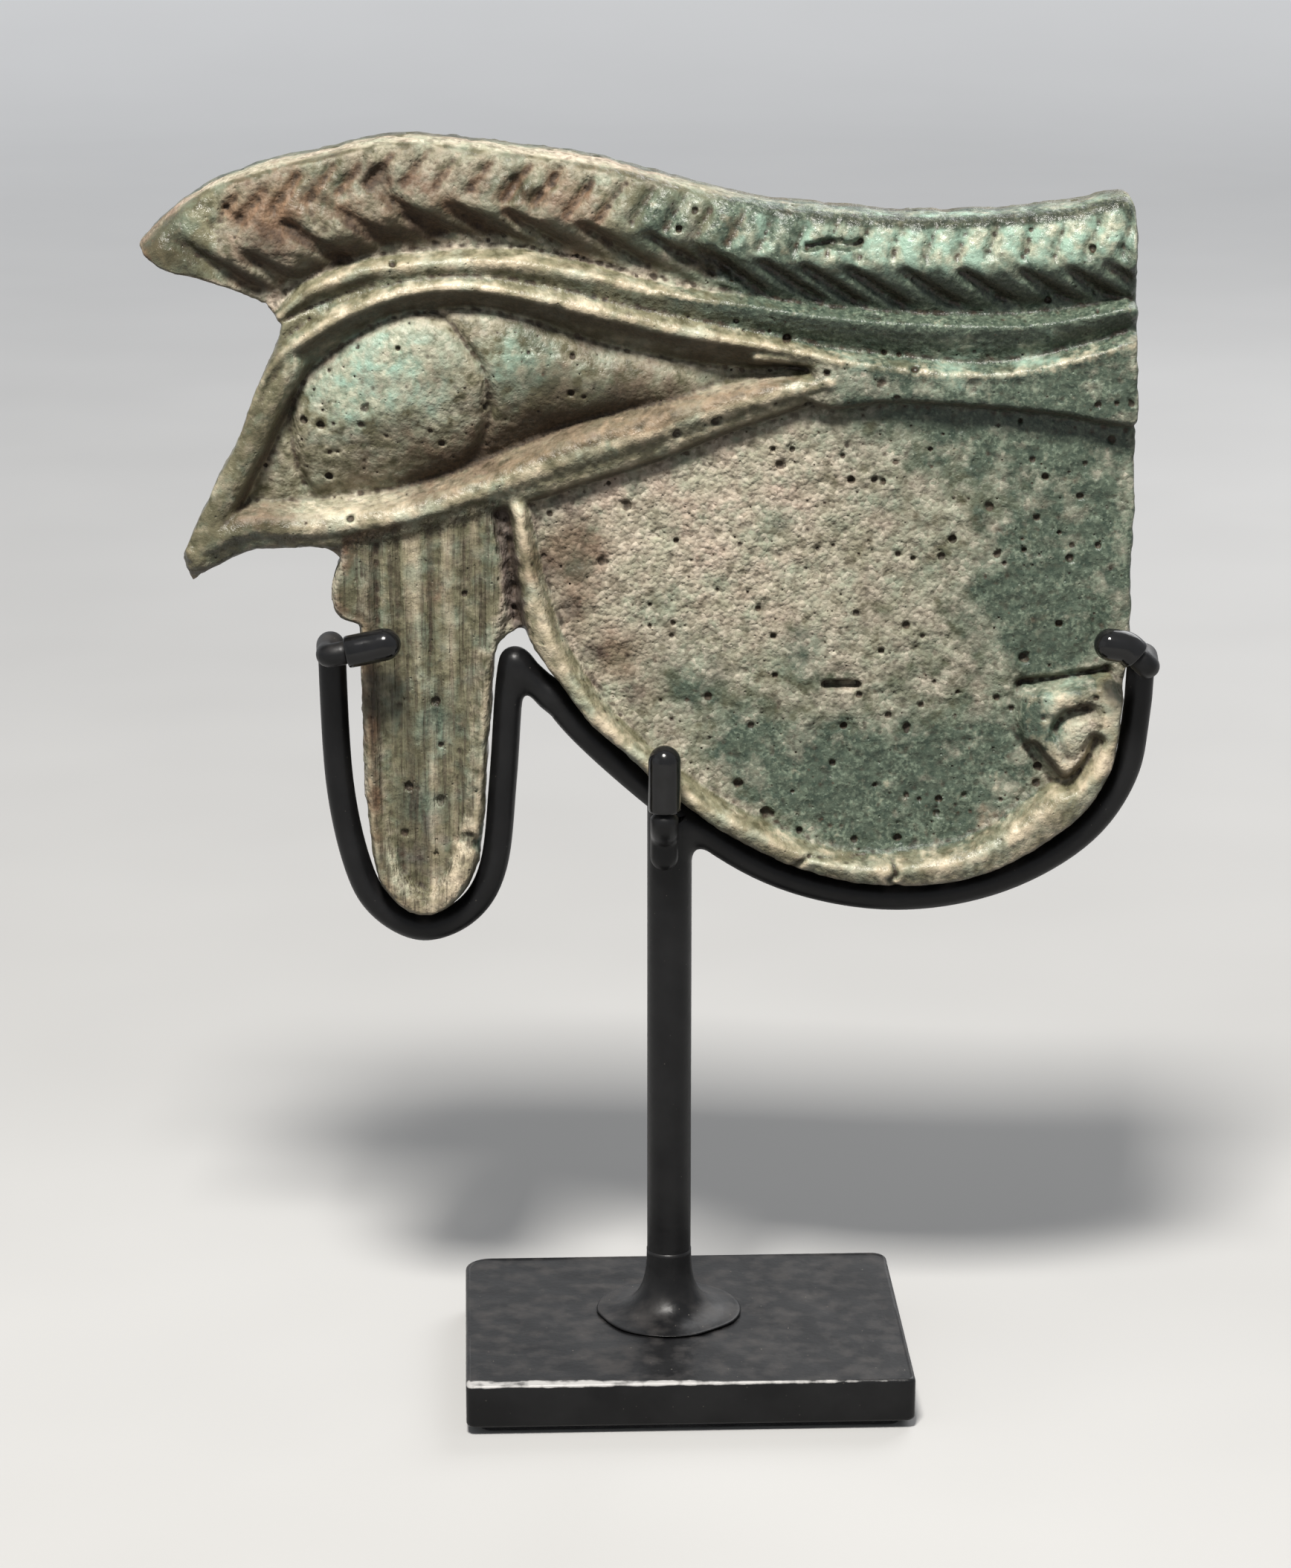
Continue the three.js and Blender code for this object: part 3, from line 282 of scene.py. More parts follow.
CHIP_SHARES = [
    [0.238, 0.962, 0.02, 0.0055], [0.247, 0.945, 0.012, 0.004], [0.56, 0.857, 0.02, 0.008],
    [0.583, 0.845, 0.016, 0.006], [0.33, 0.1, 0.014, 0.006], [0.345, 0.092, 0.01, 0.006],
    [0.1, 0.9, 0.02, 0.004], [0.15, 0.9, 0.022, 0.004], [0.19, 0.915, 0.02, 0.004],
    [0.27, 0.905, 0.02, 0.006], [0.33, 0.898, 0.02, 0.005], [0.37, 0.94, 0.016, 0.004],
    [0.4, 0.932, 0.014, 0.004], [0.42, 0.955, 0.012, 0.003], [0.303, 0.97, 0.01, 0.003],
    [0.985, 0.86, 0.012, 0.004], [0.515, 0.82, 0.008, 0.003], [0.42, 0.79, 0.01, 0.003],
]

# Stains: place, radius as a share of the eye's width, strength
TEAL_SHARES = [
    [0.97, 0.47, 0.07, 1], [0.93, 0.36, 0.06, 1], [0.96, 0.6, 0.05, 0.7], [0.86, 0.62, 0.06, 0.4],
    [0.88, 0.42, 0.05, 0.6], [0.84, 0.17, 0.07, 1], [0.75, 0.14, 0.07, 1], [0.67, 0.17, 0.06, 0.9],
    [0.6, 0.22, 0.05, 0.8], [0.66, 0.33, 0.03, 0.5], [0.55, 0.31, 0.05, 0.6], [0.52, 0.4, 0.02, 0.4],
    [0.437, 0.455, 0.016, 0.8], [0.67, 0.35, 0.02, 0.4], [0.9, 0.25, 0.03, 1], [0.86, 0.77, 0.13, 1.2],
    [0.68, 0.81, 0.05, 0.7], [0.8, 0.86, 0.1, 0.9], [0.95, 0.85, 0.06, 0.9], [0.62, 0.87, 0.05, 1],
    [0.52, 0.9, 0.03, 0.8], [0.38, 0.95, 0.02, 0.6], [0.22, 0.7, 0.06, 0.5], [0.39, 0.72, 0.04, 0.6],
    [0.46, 0.68, 0.03, 0.4], [0.3, 0.25, 0.03, 0.8], [0.29, 0.15, 0.025, 0.7], [0.28, 0.36, 0.02, 0.5],
    [0.17, 0.94, 0.02, 0.6], [0.85, 0.45, 0.15, 0.4], [0.75, 0.22, 0.13, 0.35], [0.75, 0.69, 0.08, 0.4],
    [0.95, 0.68, 0.06, 0.7], [0.5, 0.22, 0.03, 0.3], [0.1, 0.49, 0.02, 0.6], [0.34, 0.1, 0.015, 1],
    [0.2, 0.96, 0.02, 0.5], [0.64, 0.51, 0.02, 0.4], [0.7, 0.93, 0.1, 0.7],
]
# Mint of the glaze; along the brow's upper right it is also a painted highlight on the facets
MINT_SHARES = [
    [0.98, 0.895, 0.03, 0.6], [0.93, 0.885, 0.035, 0.8], [0.87, 0.88, 0.035, 0.8], [0.81, 0.88, 0.035, 0.8],
    [0.75, 0.88, 0.035, 0.8], [0.69, 0.885, 0.035, 0.7], [0.62, 0.9, 0.03, 0.6], [0.45, 0.94, 0.03, 0.5],
    [0.3, 0.975, 0.03, 0.4], [0.21, 0.69, 0.05, 0.9], [0.27, 0.73, 0.05, 0.9], [0.3, 0.66, 0.03, 0.5],
    [0.38, 0.72, 0.04, 0.6], [0.45, 0.71, 0.03, 0.4], [0.36, 0.56, 0.02, 0.6], [0.47, 0.61, 0.02, 0.5],
    [0.82, 0.72, 0.03, 0.6], [0.9, 0.725, 0.03, 0.6], [0.72, 0.72, 0.02, 0.5], [0.92, 0.29, 0.03, 0.6],
    [0.35, 0.1, 0.015, 0.8], [0.3, 0.22, 0.02, 0.5], [0.29, 0.3, 0.02, 0.3], [0.93, 0.25, 0.02, 0.5],
]
RUST_SHARES = [
    [0.1, 0.92, 0.02, 1], [0.14, 0.9, 0.025, 0.9], [0.15, 0.95, 0.03, 0.8], [0.2, 0.93, 0.03, 0.7],
    [0.26, 0.95, 0.03, 0.4], [0.3, 0.91, 0.03, 0.4], [0.36, 0.93, 0.03, 0.5], [0.41, 0.95, 0.03, 0.4],
    [0.45, 0.93, 0.03, 0.5], [0.59, 0.89, 0.025, 0.6], [0.65, 0.87, 0.02, 0.4], [0.235, 0.25, 0.012, 1],
    [0.235, 0.15, 0.012, 1], [0.24, 0.35, 0.012, 0.7], [0.3, 0.6, 0.03, 0.6], [0.33, 0.63, 0.025, 0.4],
    [0.31, 0.18, 0.02, 0.5], [0.33, 0.25, 0.02, 0.5], [0.3, 0.42, 0.02, 0.6], [0.44, 0.78, 0.02, 0.5],
    [0.85, 0.12, 0.02, 0.6], [0.008, 0.86, 0.01, 1], [0.55, 0.52, 0.05, 0.3], [0.85, 0.49, 0.03, 0.3],
    [0.5, 0.35, 0.05, 0.3], [0.91, 0.1, 0.02, 0.5],
]
PLUM_SHARES = [
    [0.39, 0.5, 0.018, 0.6], [0.41, 0.45, 0.02, 0.8], [0.43, 0.4, 0.02, 0.8], [0.46, 0.34, 0.02, 0.8],
    [0.5, 0.28, 0.02, 0.7], [0.53, 0.24, 0.015, 0.6], [0.43, 0.52, 0.03, 0.6], [0.28, 0.08, 0.03, 0.6],
    [0.3, 0.12, 0.02, 0.5], [0.5, 0.57, 0.03, 0.3],
]
BROWN_SHARES = [
    [0.03, 0.875, 0.035, 1], [0.2, 0.885, 0.03, 0.5], [0.27, 0.9, 0.03, 0.6], [0.34, 0.9, 0.03, 0.5],
    [0.41, 0.47, 0.03, 0.8], [0.44, 0.4, 0.03, 0.8], [0.47, 0.34, 0.025, 0.7], [0.45, 0.5, 0.03, 0.4],
    [0.51, 0.28, 0.02, 0.6], [0.62, 0.1, 0.03, 0.4], [0.42, 0.64, 0.045, 0.7], [0.5, 0.66, 0.035, 0.7],
    [0.31, 0.6, 0.03, 0.4], [0.23, 0.585, 0.03, 0.3], [0.7, 0.07, 0.02, 0.4], [0.93, 0.52, 0.05, 0.3],
    [0.89, 0.4, 0.04, 0.3], [0.3, 0.71, 0.025, 0.7], [0.27, 0.63, 0.03, 0.6], [0.445, 0.47, 0.03, 0.7],
    [0.49, 0.33, 0.03, 0.6],
]
# Soot on chips and worn places; painted shade on the brow's lower left facets and at the eyeball's foot
SOOT_AND_SHADE_SHARES = [
    [0.13, 0.875, 0.03, 0.7], [0.2, 0.88, 0.03, 0.7], [0.28, 0.895, 0.035, 0.8], [0.36, 0.885, 0.03, 0.6],
    [0.238, 0.965, 0.012, 1], [0.575, 0.85, 0.018, 1], [0.42, 0.62, 0.05, 0.6], [0.5, 0.66, 0.05, 0.7],
    [0.3, 0.56, 0.05, 0.5], [0.56, 0.67, 0.04, 0.5], [0.1, 0.53, 0.02, 0.5], [0.24, 0.96, 0.02, 0.5],
    [0.29, 0.07, 0.03, 0.5],
]


# Curves and regions over the amulet's face
def place(shares):
    """Millimetres across and up, from shares of the width and height"""
    s = np.atleast_2d(np.asarray(shares, float))
    across = (s[:, 0] - VIEW_AXIS_SHARE) * (1 + KEYSTONE_SHARE * (WIDEST_SHARE - s[:, 1]))
    up = s[:, 1] + KEYSTONE_SHARE * s[:, 1] * (1 - s[:, 1])
    return np.column_stack([EYE_WIDTH * across, EYE_HEIGHT * up])


def lengths_along(line):
    """Length of a line up to each of its points"""
    return np.concatenate([[0], np.cumsum(np.linalg.norm(np.diff(line, axis=0), axis=1))])


def read_off(values, at, wanted):
    """Values that are listed at some lengths, at the wanted lengths between them"""
    return np.stack([np.interp(wanted, at, column) for column in values.T], axis=-1)


def spline(points, steps):
    """Smooth curve through the points"""
    p = np.asarray(points, float)
    last = len(p) - 1
    t = np.linspace(0, last, last * steps + 1)
    i = np.minimum(t.astype(int), last - 1)
    w = (t - i)[:, None]
    a, b, c, d = p[np.maximum(i - 1, 0)], p[i], p[i + 1], p[np.minimum(i + 2, last)]
    out, back = (c - a) / 2, (d - b) / 2
    return (2 * b - 2 * c + out + back) * w**3 + (3 * c - 3 * b - 2 * out - back) * w**2 + out * w + b


CURVE_STEPS = 7


def smooth(shares, steps=CURVE_STEPS):
    return spline(place(shares), steps)


def ring(*runs):
    """Closed outline from runs that share their ends"""
    return np.vstack([run[:-1] for run in runs])


def closed(shares):
    return ring(smooth([*shares, shares[0]]))


SILHOUETTE = ring(
    smooth(BROW_TOP_SHARES), smooth(RIGHT_SIDE_SHARES), smooth(CURL_EDGE_SHARES), smooth(NOTCH_SHARES),
    smooth(DROP_EDGE_SHARES), smooth(BUMP_SHARES), smooth(LID_UNDERSIDE_SHARES),
    smooth(LEFT_SIDE_SHARES), smooth(BROW_UNDERSIDE_SHARES),
)

# Grid over the face: one value for each place across and up
STEP = 0.2
MARGIN = 1.2
REACH = 4
FAR = 9
GX = np.arange(SILHOUETTE[:, 0].min() - MARGIN, SILHOUETTE[:, 0].max() + MARGIN, STEP)
GZ = np.arange(SILHOUETTE[:, 1].min() - MARGIN, SILHOUETTE[:, 1].max() + MARGIN, STEP)
X_SHARE = (GX / EYE_WIDTH + VIEW_AXIS_SHARE)[:, None]
Z_SHARE = (GZ / EYE_HEIGHT)[None]
TINY = 1e-12


def near_segment(a, b, reach):
    """Window of the grid round a straight stretch: share along it, distance to it and side of it"""
    low, high = np.minimum(a, b)[:2] - reach, np.maximum(a, b)[:2] + reach
    across = slice(*np.searchsorted(GX, (low[0], high[0])))
    up = slice(*np.searchsorted(GZ, (low[1], high[1])))
    x, z = GX[across, None] - a[0], GZ[None, up] - a[1]
    dx, dz = (b - a)[:2]
    t = np.clip((x * dx + z * dz) / max(dx * dx + dz * dz, TINY), 0, 1)
    return (across, up), t, np.hypot(x - t * dx, z - t * dz), np.sign(dx * z - dz * x)


def trace(line, reach=REACH):
    """Distance to a line, the side of it, and the line's third column at the nearest point"""
    shape = (GX.size, GZ.size)
    distance, side, third = np.full(shape, float(FAR)), np.ones(shape), np.zeros(shape)
    for a, b in zip(line[:-1], line[1:]):
        window, t, d, sides = near_segment(a, b, reach)
        near = d < distance[window]
        distance[window][near] = d[near]
        side[window][near] = sides[near]
        if len(a) > 2:
            third[window][near] = (a[2] + t * (b[2] - a[2]))[near]
    return distance, side, third


def away_from(shares, reach=REACH):
    """Distance to a smooth line through places of the face"""
    return trace(smooth(shares), reach)[0]


def region(outline, reach=REACH):
    """Distance to a closed outline, negative inside it"""
    loop = np.vstack([outline, outline[:1]])
    distance = trace(loop, reach)[0]
    inside = np.zeros(distance.shape, bool)
    for (ax, az), (bx, bz) in zip(loop[:-1], loop[1:]):
        if ax == bx:
            continue
        i0, i1 = np.searchsorted(GX, (min(ax, bx), max(ax, bx)))
        crossing = az + (GX[i0:i1] - ax) * (bz - az) / (bx - ax)
        inside[i0:i1] ^= GZ[None, :] < crossing[:, None]
    return np.where(inside, -distance, distance)


# Ways to join and wear levels
BLEND = 0.3
WALL = 5


def smax(a, b, k=BLEND):
    h = np.clip(0.5 + (a - b) / (2 * k), 0, 1)
    return b + (a - b) * h + k * h * (1 - h)


def smin(a, b, k=BLEND):
    return -smax(-a, -b, k)


def soft(value, low, high):
    """Rises smoothly from 0 at low to 1 at high"""
    t = np.clip((value - low) / (high - low), 0, 1)
    return t * t * (3 - 2 * t)


def rounding(depth_in, width):
    """Quarter-round drop near an edge: 1 at the edge and 0 from width on"""
    t = 1 - np.clip(depth_in / width, 0, 1)
    return 1 - np.sqrt(1 - t * t)


def spread(coordinates, size):
    """Weights that spread a coarse row of values over the coordinates as a smooth curve"""
    u = (coordinates - coordinates[0]) / size
    i = np.floor(u).astype(int)
    f = u - i
    weights = np.zeros((u.size, i[-1] + 4))
    rows = np.arange(u.size)
    terms = ((1 - f) ** 3, 3 * f**3 - 6 * f**2 + 4, 1 + 3 * f + 3 * f**2 - 3 * f**3, f**3)
    for k, term in enumerate(terms):
        weights[rows, i + k] = term / 6
    return weights


def grain(seed, across, up=None):
    """Smooth noise over the face, with features of the given size"""
    wx, wz = spread(GX, across), spread(GZ, up or across)
    lattice = np.random.default_rng(seed).standard_normal((wx.shape[1], wz.shape[1]))
    values = wx @ lattice @ wz.T
    return values / values.std()


def blur(values, size):
    """Box blur over the face, twice in each direction"""
    n = max(1, round(size / STEP / 2))
    for axis in (0, 1, 0, 1):
        pad = [(0, 0), (0, 0)]
        pad[axis] = (n + 1, n)
        total = np.cumsum(np.pad(values, pad, mode="edge"), axis=axis)
        count = values.shape[axis]
        high = np.take(total, range(2 * n + 1, 2 * n + 1 + count), axis)
        values = (high - np.take(total, range(count), axis)) / (2 * n + 1)
    return values


def stains(table):
    """Soft round stains, summed"""
    total = np.zeros((GX.size, GZ.size))
    for x_share, z_share, radius_share, strength in table:
        x, z = place([x_share, z_share])[0]
        radius = radius_share * EYE_WIDTH
        total += strength * np.exp(-((GX[:, None] - x) ** 2 + (GZ[None] - z) ** 2) / radius**2)
    return total


# Relief of the amulet's face
def ridge(shares, section):
    """Level of a raised band, from its section"""
    table = np.asarray(shares)
    points = np.column_stack([place(table), table[:, 2] * EYE_WIDTH / 2])
    distance, side, half = trace(spline(points, CURVE_STEPS), 5)
    half = np.maximum(half, 0.3)
    knots, levels = section
    u = side * distance / half
    past = np.maximum(u - knots[-1], 0) + np.maximum(knots[0] - u, 0)
    return np.interp(u, knots, levels) - WALL * past * half


def terrace(shares, level, edge):
    """Level of a filled outline with a rounded edge"""
    d = region(closed(shares))
    return level - edge * rounding(-d, edge) - WALL * np.maximum(d, 0), d


def groove(shares, width, depth):
    """Depth of a line carved through places of the face, deepest along its middle"""
    return depth * (1 - soft(away_from(shares, width), 0, width / 2))


def stroke(cut, start, end, width, depth):
    """Adds one straight stroke that fades at both ends"""
    window, t, away, _ = near_segment(start, end, width)
    fade = soft(t, -0.05, 0.2) * (1 - soft(t, 0.88, 1.15))
    cut[window] = np.maximum(cut[window], depth * fade * (1 - soft(away, 0, width / 2)))


CHEVRON_STEPS = 30


def herringbone():
    """Depth of the carved strokes of the brow"""
    cut = np.zeros((GX.size, GZ.size))
    draw = np.random.default_rng(7)
    size = np.array([EYE_WIDTH, EYE_HEIGHT])
    for share, at in zip(LOWER_STROKE_SHARES, place(LOWER_STROKE_SHARES)):
        growth, width, depth = LOWER_STROKE_WORN if share[0] < WORN_SHARE else LOWER_STROKE_SHARP
        reach = LOWER_REACH_SHARES * size * draw.uniform(0.95, 1.08) * growth
        stroke(cut, at - reach * 0.1, at + reach, width, depth)
    line = smooth(CHEVRON_SHARES, CHEVRON_STEPS)
    along = lengths_along(line)
    for share in np.linspace(0.04, 0.99, UPPER_STROKES):
        at = read_off(line, along, share * along[-1]) + draw.uniform(-0.2, 0.2, 2)
        lean = soft(share, 0.35, 0.75)
        reach = np.array(UPPER_LEFT_REACH_SHARES) * (1 - lean) + np.array(UPPER_RIGHT_REACH_SHARES) * lean
        reach = reach * size * draw.uniform(0.9, 1.1)
        depth = UPPER_DEPTH_WORN if share < WORN_SHARE else UPPER_DEPTH_SHARP
        stroke(cut, at + reach * 0.08, at + reach, UPPER_WIDTH, depth)
    return cut


def brow_level(edge):
    """Face of the brow: a roof along its ridge line, with a wide facet at its right tip"""
    away, side, _ = trace(smooth(ROOF_SHARES), BROW_REACH)
    top = away_from(BROW_TOP_SHARES, BROW_REACH)
    rise = away / (away + top + 0.2)
    fall = away / (away + away_from(BROW_LOWER_SHARES, BROW_REACH) + 0.2)
    bent = 1.1 + 0.4 * (1 - soft(X_SHARE, 0.15, 0.3))
    roof = np.where(side > 0, 1.3 * rise**1.6, 3.1 * fall**bent)
    facet = 1.3 + 2 * soft(X_SHARE, 0.86, 0.97)
    return BROW_LEVEL - roof - 1.4 * rounding(top, facet) - WALL * np.maximum(edge, 0)


def drop_flutes(inside):
    """Upright flutes of the drop, which narrow with it"""
    right, left = place(DROP_EDGE_SHARES[:6])[::-1], place(DROP_EDGE_SHARES[5:])
    x_right = np.interp(GZ, right[:, 1], right[:, 0])[None]
    x_left = np.interp(GZ, left[:, 1], left[:, 0])[None]
    across = np.maximum(x_right - x_left, 1)
    u = (GX[:, None] - x_left) / across + 0.006 * grain(11, 2.5, 14)
    cut = np.zeros(u.shape)
    for share, width, depth in FLUTES:
        cut = np.maximum(cut, depth * (1 - soft(np.abs(u - share) * across, 0, width / 2)))
    cut = 1.5 * cut * np.clip(1 + 0.35 * grain(12, 3, 12), 0.3, 1.6)
    return (0.08 * grain(13, 0.45, 8) - cut) * soft(-inside, 0.5, 1.4)


def channel_level():
    """Hollow that falls from the fold to the foot of the lid and of the tail"""
    foot = np.minimum(away_from(UPPER_LID_SHARES), away_from(TAIL_CREST_SHARES))
    fold = away_from(FOLD_SHARES)
    fall = fold / (fold + np.maximum(foot - 0.5, 0.05))
    outside = np.maximum(region(closed(CHANNEL_SHARES)), 0)
    return FOLD_LEVEL - (FOLD_LEVEL - CHANNEL_LEVEL) * soft(fall, -0.1, 1) - WALL * outside


def relief():
    """Level of the whole face, and how much of each surface lies at each place"""
    level = FIELD_LEVEL + 0.12 * grain(1, 11) + 0.05 * grain(2, 4)
    channel = channel_level()
    level = smax(level, channel)
    drop = region(ring(smooth(DROP_EDGE_SHARES), smooth(BUMP_SHARES), smooth(DROP_NECK_SHARES, 1)))
    face = DROP_LEVEL - 0.5 * rounding(-drop, 0.6) - WALL * np.maximum(drop, 0) + drop_flutes(drop)
    level = smax(level, face)
    tail, tail_edge = terrace(TAIL_SHARES, TAIL_LEVEL, 0.4)
    level = smax(level, tail + 0.05 * grain(3, 3))
    fold = ridge(FOLD_SHARES, FOLD_SECTION)
    rim = ridge(DROP_RIM_SHARES, DROP_RIM_SECTION) + 0.75 * (1 - soft(Z_SHARE, 0.04, 0.16))
    bands = np.maximum.reduce([
        fold, ridge(CURL_SHARES, CURL_SECTION), rim, ridge(TAIL_CREST_SHARES, TAIL_CREST_SECTION),
    ])
    spiral, spiral_edge = terrace(SPIRAL_SHARES, SPIRAL_LEVEL, 0.8)
    spiral -= 1 - soft(X_SHARE, 0.885, 0.94)
    level = smax(smax(level, bands, 0.2), spiral)
    brow = region(ring(
        smooth(BROW_TOP_SHARES), smooth([RIGHT_SIDE_SHARES[0], BROW_LOWER_SHARES[0]]),
        smooth(BROW_LOWER_SHARES), smooth(BROW_UNDERSIDE_SHARES[2:]),
    ))
    level = smax(level, brow_level(brow), 0.15)
    on_brow = soft(-brow, 0, 0.8)
    strokes = herringbone()
    level -= strokes * on_brow

    opening = region(closed(EYE_OPENING_SHARES))
    level = smin(level, SOCKET_LEVEL + WALL * np.maximum(opening, 0))
    ball, socket_shade = eyeball(opening)
    level = smax(level, ball, 0.2)
    lids = np.maximum.reduce([
        ridge(UPPER_LID_SHARES, UPPER_LID_SECTION), ridge(LOWER_LID_SHARES, LOWER_LID_SECTION),
        ridge(LEFT_LID_SHARES, LEFT_LID_SECTION),
    ])
    level = smax(level, lids, 0.2)
    for shares, width, depth in CARVED_LINES:
        level -= groove(shares, width, depth)
    off_brow = 1 - on_brow
    zones = {
        # painted shade: darker wherever the face slopes down, away from the light above
        "lee": blur(soft(np.gradient(level, STEP, axis=1), 0.4, 1.15), 0.5),
        "brow": on_brow,
        "band": soft(np.maximum(bands, lids) - level, -0.35, 0.05) * off_brow,
        "eye": soft(-opening, 0.2, 1.2),
        "tail": soft(-tail_edge, 0.3, 1),
        "drop": soft(-drop, 0.3, 1),
        "channel": soft(channel - level, -0.4, 0) * off_brow,
        "spiral": soft(-spiral_edge, 0, 1),
        "socket_shade": socket_shade,
        "stroke": on_brow * soft(strokes, 0.1, 0.5),
        "fold_right": soft(fold - level, -0.35, 0.05) * off_brow * soft(X_SHARE, 0.45, 0.65),
        "bevel": on_brow * (1 - soft(away_from(BROW_TOP_SHARES, 3), 0.7, 1.4)) * soft(X_SHARE, 0.55, 0.75),
        "tip": on_brow * (1 - soft(X_SHARE, 0.05, 0.09)),
        "drop_left": soft(-drop, 0, 0.4) * (1 - soft(-drop, 1, 1.8)) * (1 - soft(X_SHARE, 0.25, 0.28)),
        "deposit": groove(DEPOSIT_SHARES, 3.4, 1),
    }
    return blur(level, STEP), zones


def eyeball(opening):
    """Convex eyeball, highest near the upper lid, with a raised iris; and painted shade round its foot"""
    over = away_from(EYE_OPENING_SHARES[:CORNER_POINT + 1], BALL_REACH)
    under = away_from([*EYE_OPENING_SHARES[CORNER_POINT:], EYE_OPENING_SHARES[0]], BALL_REACH)
    height = over + under + 0.5
    narrow = soft(X_SHARE, 0.33, 0.5)
    away = (BALL_CREST - 0.2 * narrow) * height - under
    curved = np.where(away > 0, BALL_LOWER_RADIUS - 0.42 * narrow, BALL_UPPER_RADIUS + 0.2 * narrow)
    radius = height * curved
    bulge = 1 - np.sqrt(1 - np.minimum(np.abs(away) / radius, 1) ** 2)
    ball = smax(BALL_LEVEL + BALL_SWELL * height - radius * bulge, SOCKET_LEVEL, 0.3)
    ball -= 1.3 * (1 - soft(X_SHARE, 0.13, 0.27)) + 1.2 * soft(X_SHARE, 0.52, 0.6)
    iris = region(closed(IRIS_EDGE_SHARES))
    ball += IRIS_RISE * (1 - rounding(-iris, 1.5)) - IRIS_LINE_DEPTH * np.exp(-((iris / 0.42) ** 2))
    # painted shade: along the foot of the eyeball above the lower lid, and in its left corner
    rim = soft(-opening, 0, 0.4)
    socket_shade = rim * (1 - soft(under / height, 0.2, 0.42)) * soft(X_SHARE, 0.2, 0.3)
    corner = 0.45 * rim * (1 - soft(X_SHARE, 0.13, 0.17))
    return ball - WALL * np.maximum(opening, 0), np.maximum(socket_shade, corner)


def plain_field(zones):
    """How much of the face's plain field lies at each place"""
    return 1 - np.maximum.reduce([zones[k] for k in ("brow", "band", "eye", "drop", "channel")])


def wear(level, zones):
    """Cracks, chips and the grain of each surface"""
    ragged = 0.3 * grain(20, 1.3) + 0.12 * grain(21, 0.6)
    for shares, width, depth in BROKEN_LINES:
        level = level - groove(shares, width, depth)
    level = level - np.minimum(1, 1.6 * groove(SLOT_SHARES, 1.2, 1.3)) * 1.3
    for x_share, z_share, radius_share, depth_share in CHIP_SHARES:
        x, z = place([x_share, z_share])[0]
        away = np.hypot(GX[:, None] - x, GZ[None] - z) / (radius_share * EYE_WIDTH) + ragged
        level = level - depth_share * EYE_WIDTH * (1 - soft(away, 0.2, 1.1))
    eroded = zones["brow"] * (1 - soft(X_SHARE, 0.36, 0.46)) * soft(X_SHARE, 0.05, 0.09)
    level = level - eroded * (0.12 + 0.1 * grain(22, 2) + 0.05 * grain(23, 0.8))
    plain = plain_field(zones)
    rough = 0.006 + 0.03 * plain + 0.02 * zones["eye"] + 0.16 * zones["deposit"] + 0.035 * eroded
    level = level + rough * (grain(24, 0.9) + grain(25, 0.45))
    level = level + 0.035 * grain(26, 2.2) * (plain + zones["eye"])
    level = level + (0.05 * grain(28, 2.4) + 0.03 * grain(29, 0.8)) * zones["band"]
    streak = grain(27, 0.5, 5) * zones["drop"]
    return np.minimum(level + 0.04 * streak, BROW_LEVEL)


# Closed skin round a solid that is given as a field, negative inside
CORNERS = list(np.ndindex(2, 2, 2))
EDGES = [(a, b) for a in CORNERS for b in CORNERS if sum(b) - sum(a) == 1 and all(np.subtract(b, a) >= 0)]


def surface(field):
    """Points, in steps of the grid, and four-sided faces of the skin where the field passes 0"""
    inside = field < 0
    ends = [slice(0, -1), slice(1, None)]
    count = sum(inside[ends[i], ends[j], ends[k]].astype(np.int8) for i, j, k in CORNERS)
    cells = np.argwhere((count > 0) & (count < len(CORNERS)))
    number = np.full(count.shape, -1, np.int32)
    number[tuple(cells.T)] = np.arange(len(cells))
    value = {c: field[tuple((cells + c).T)] for c in CORNERS}
    total = np.zeros((len(cells), 3))
    crossings = np.zeros(len(cells))
    for a, b in EDGES:
        crosses = (value[a] < 0) != (value[b] < 0)
        step = np.where(crosses, value[a] - value[b], 1)
        t = np.where(crosses, value[a] / step, 0)[:, None]
        total += np.where(crosses[:, None], np.array(a) + t * np.subtract(b, a), 0)
        crossings += crosses
    points = cells + total / crossings[:, None]
    faces = []
    for axis in range(3):
        first = np.moveaxis(inside, axis, 0)[:-1]
        second = np.moveaxis(inside, axis, 0)[1:]
        others = [k for k in range(3) if k != axis]
        edge = np.argwhere(first != second)
        out = first[tuple(edge.T)]
        at = np.zeros_like(edge)
        at[:, axis] = edge[:, 0]
        at[:, others[0]], at[:, others[1]] = edge[:, 1], edge[:, 2]
        corner = []
        for shift in ((1, 1), (0, 1), (0, 0), (1, 0)):
            cell = at.copy()
            cell[:, others[0]] -= shift[0]
            cell[:, others[1]] -= shift[1]
            corner.append(number[tuple(cell.T)])
        quads = np.column_stack(corner)
        flip = out if axis == 1 else ~out
        quads[flip] = quads[flip][:, ::-1]
        faces.append(quads)
    return points, np.vstack(faces)


def normals_of(points, faces):
    across = points[faces[:, 2]] - points[faces[:, 0]]
    along = points[faces[:, 3]] - points[faces[:, 1]]
    face_normals = np.cross(across, along)
    total = np.zeros_like(points)
    for k in range(3):
        weight = np.repeat(face_normals[:, k], 4)
        total[:, k] = np.bincount(faces.ravel(), weight, len(points))
    return total / np.maximum(np.linalg.norm(total, axis=1, keepdims=True), TINY)


def relaxed(points, faces, rounds):
    """Points drawn towards their neighbours, again and again"""
    a = np.concatenate([faces[:, k] for k in range(4)])
    b = np.concatenate([faces[:, (k + 1) % 4] for k in range(4)])
    count = np.bincount(a, minlength=len(points))[:, None]
    for _ in range(rounds):
        mean = np.column_stack([np.bincount(a, points[b, k], len(points)) for k in range(3)]) / count
        points = (points + mean) / 2
    return points


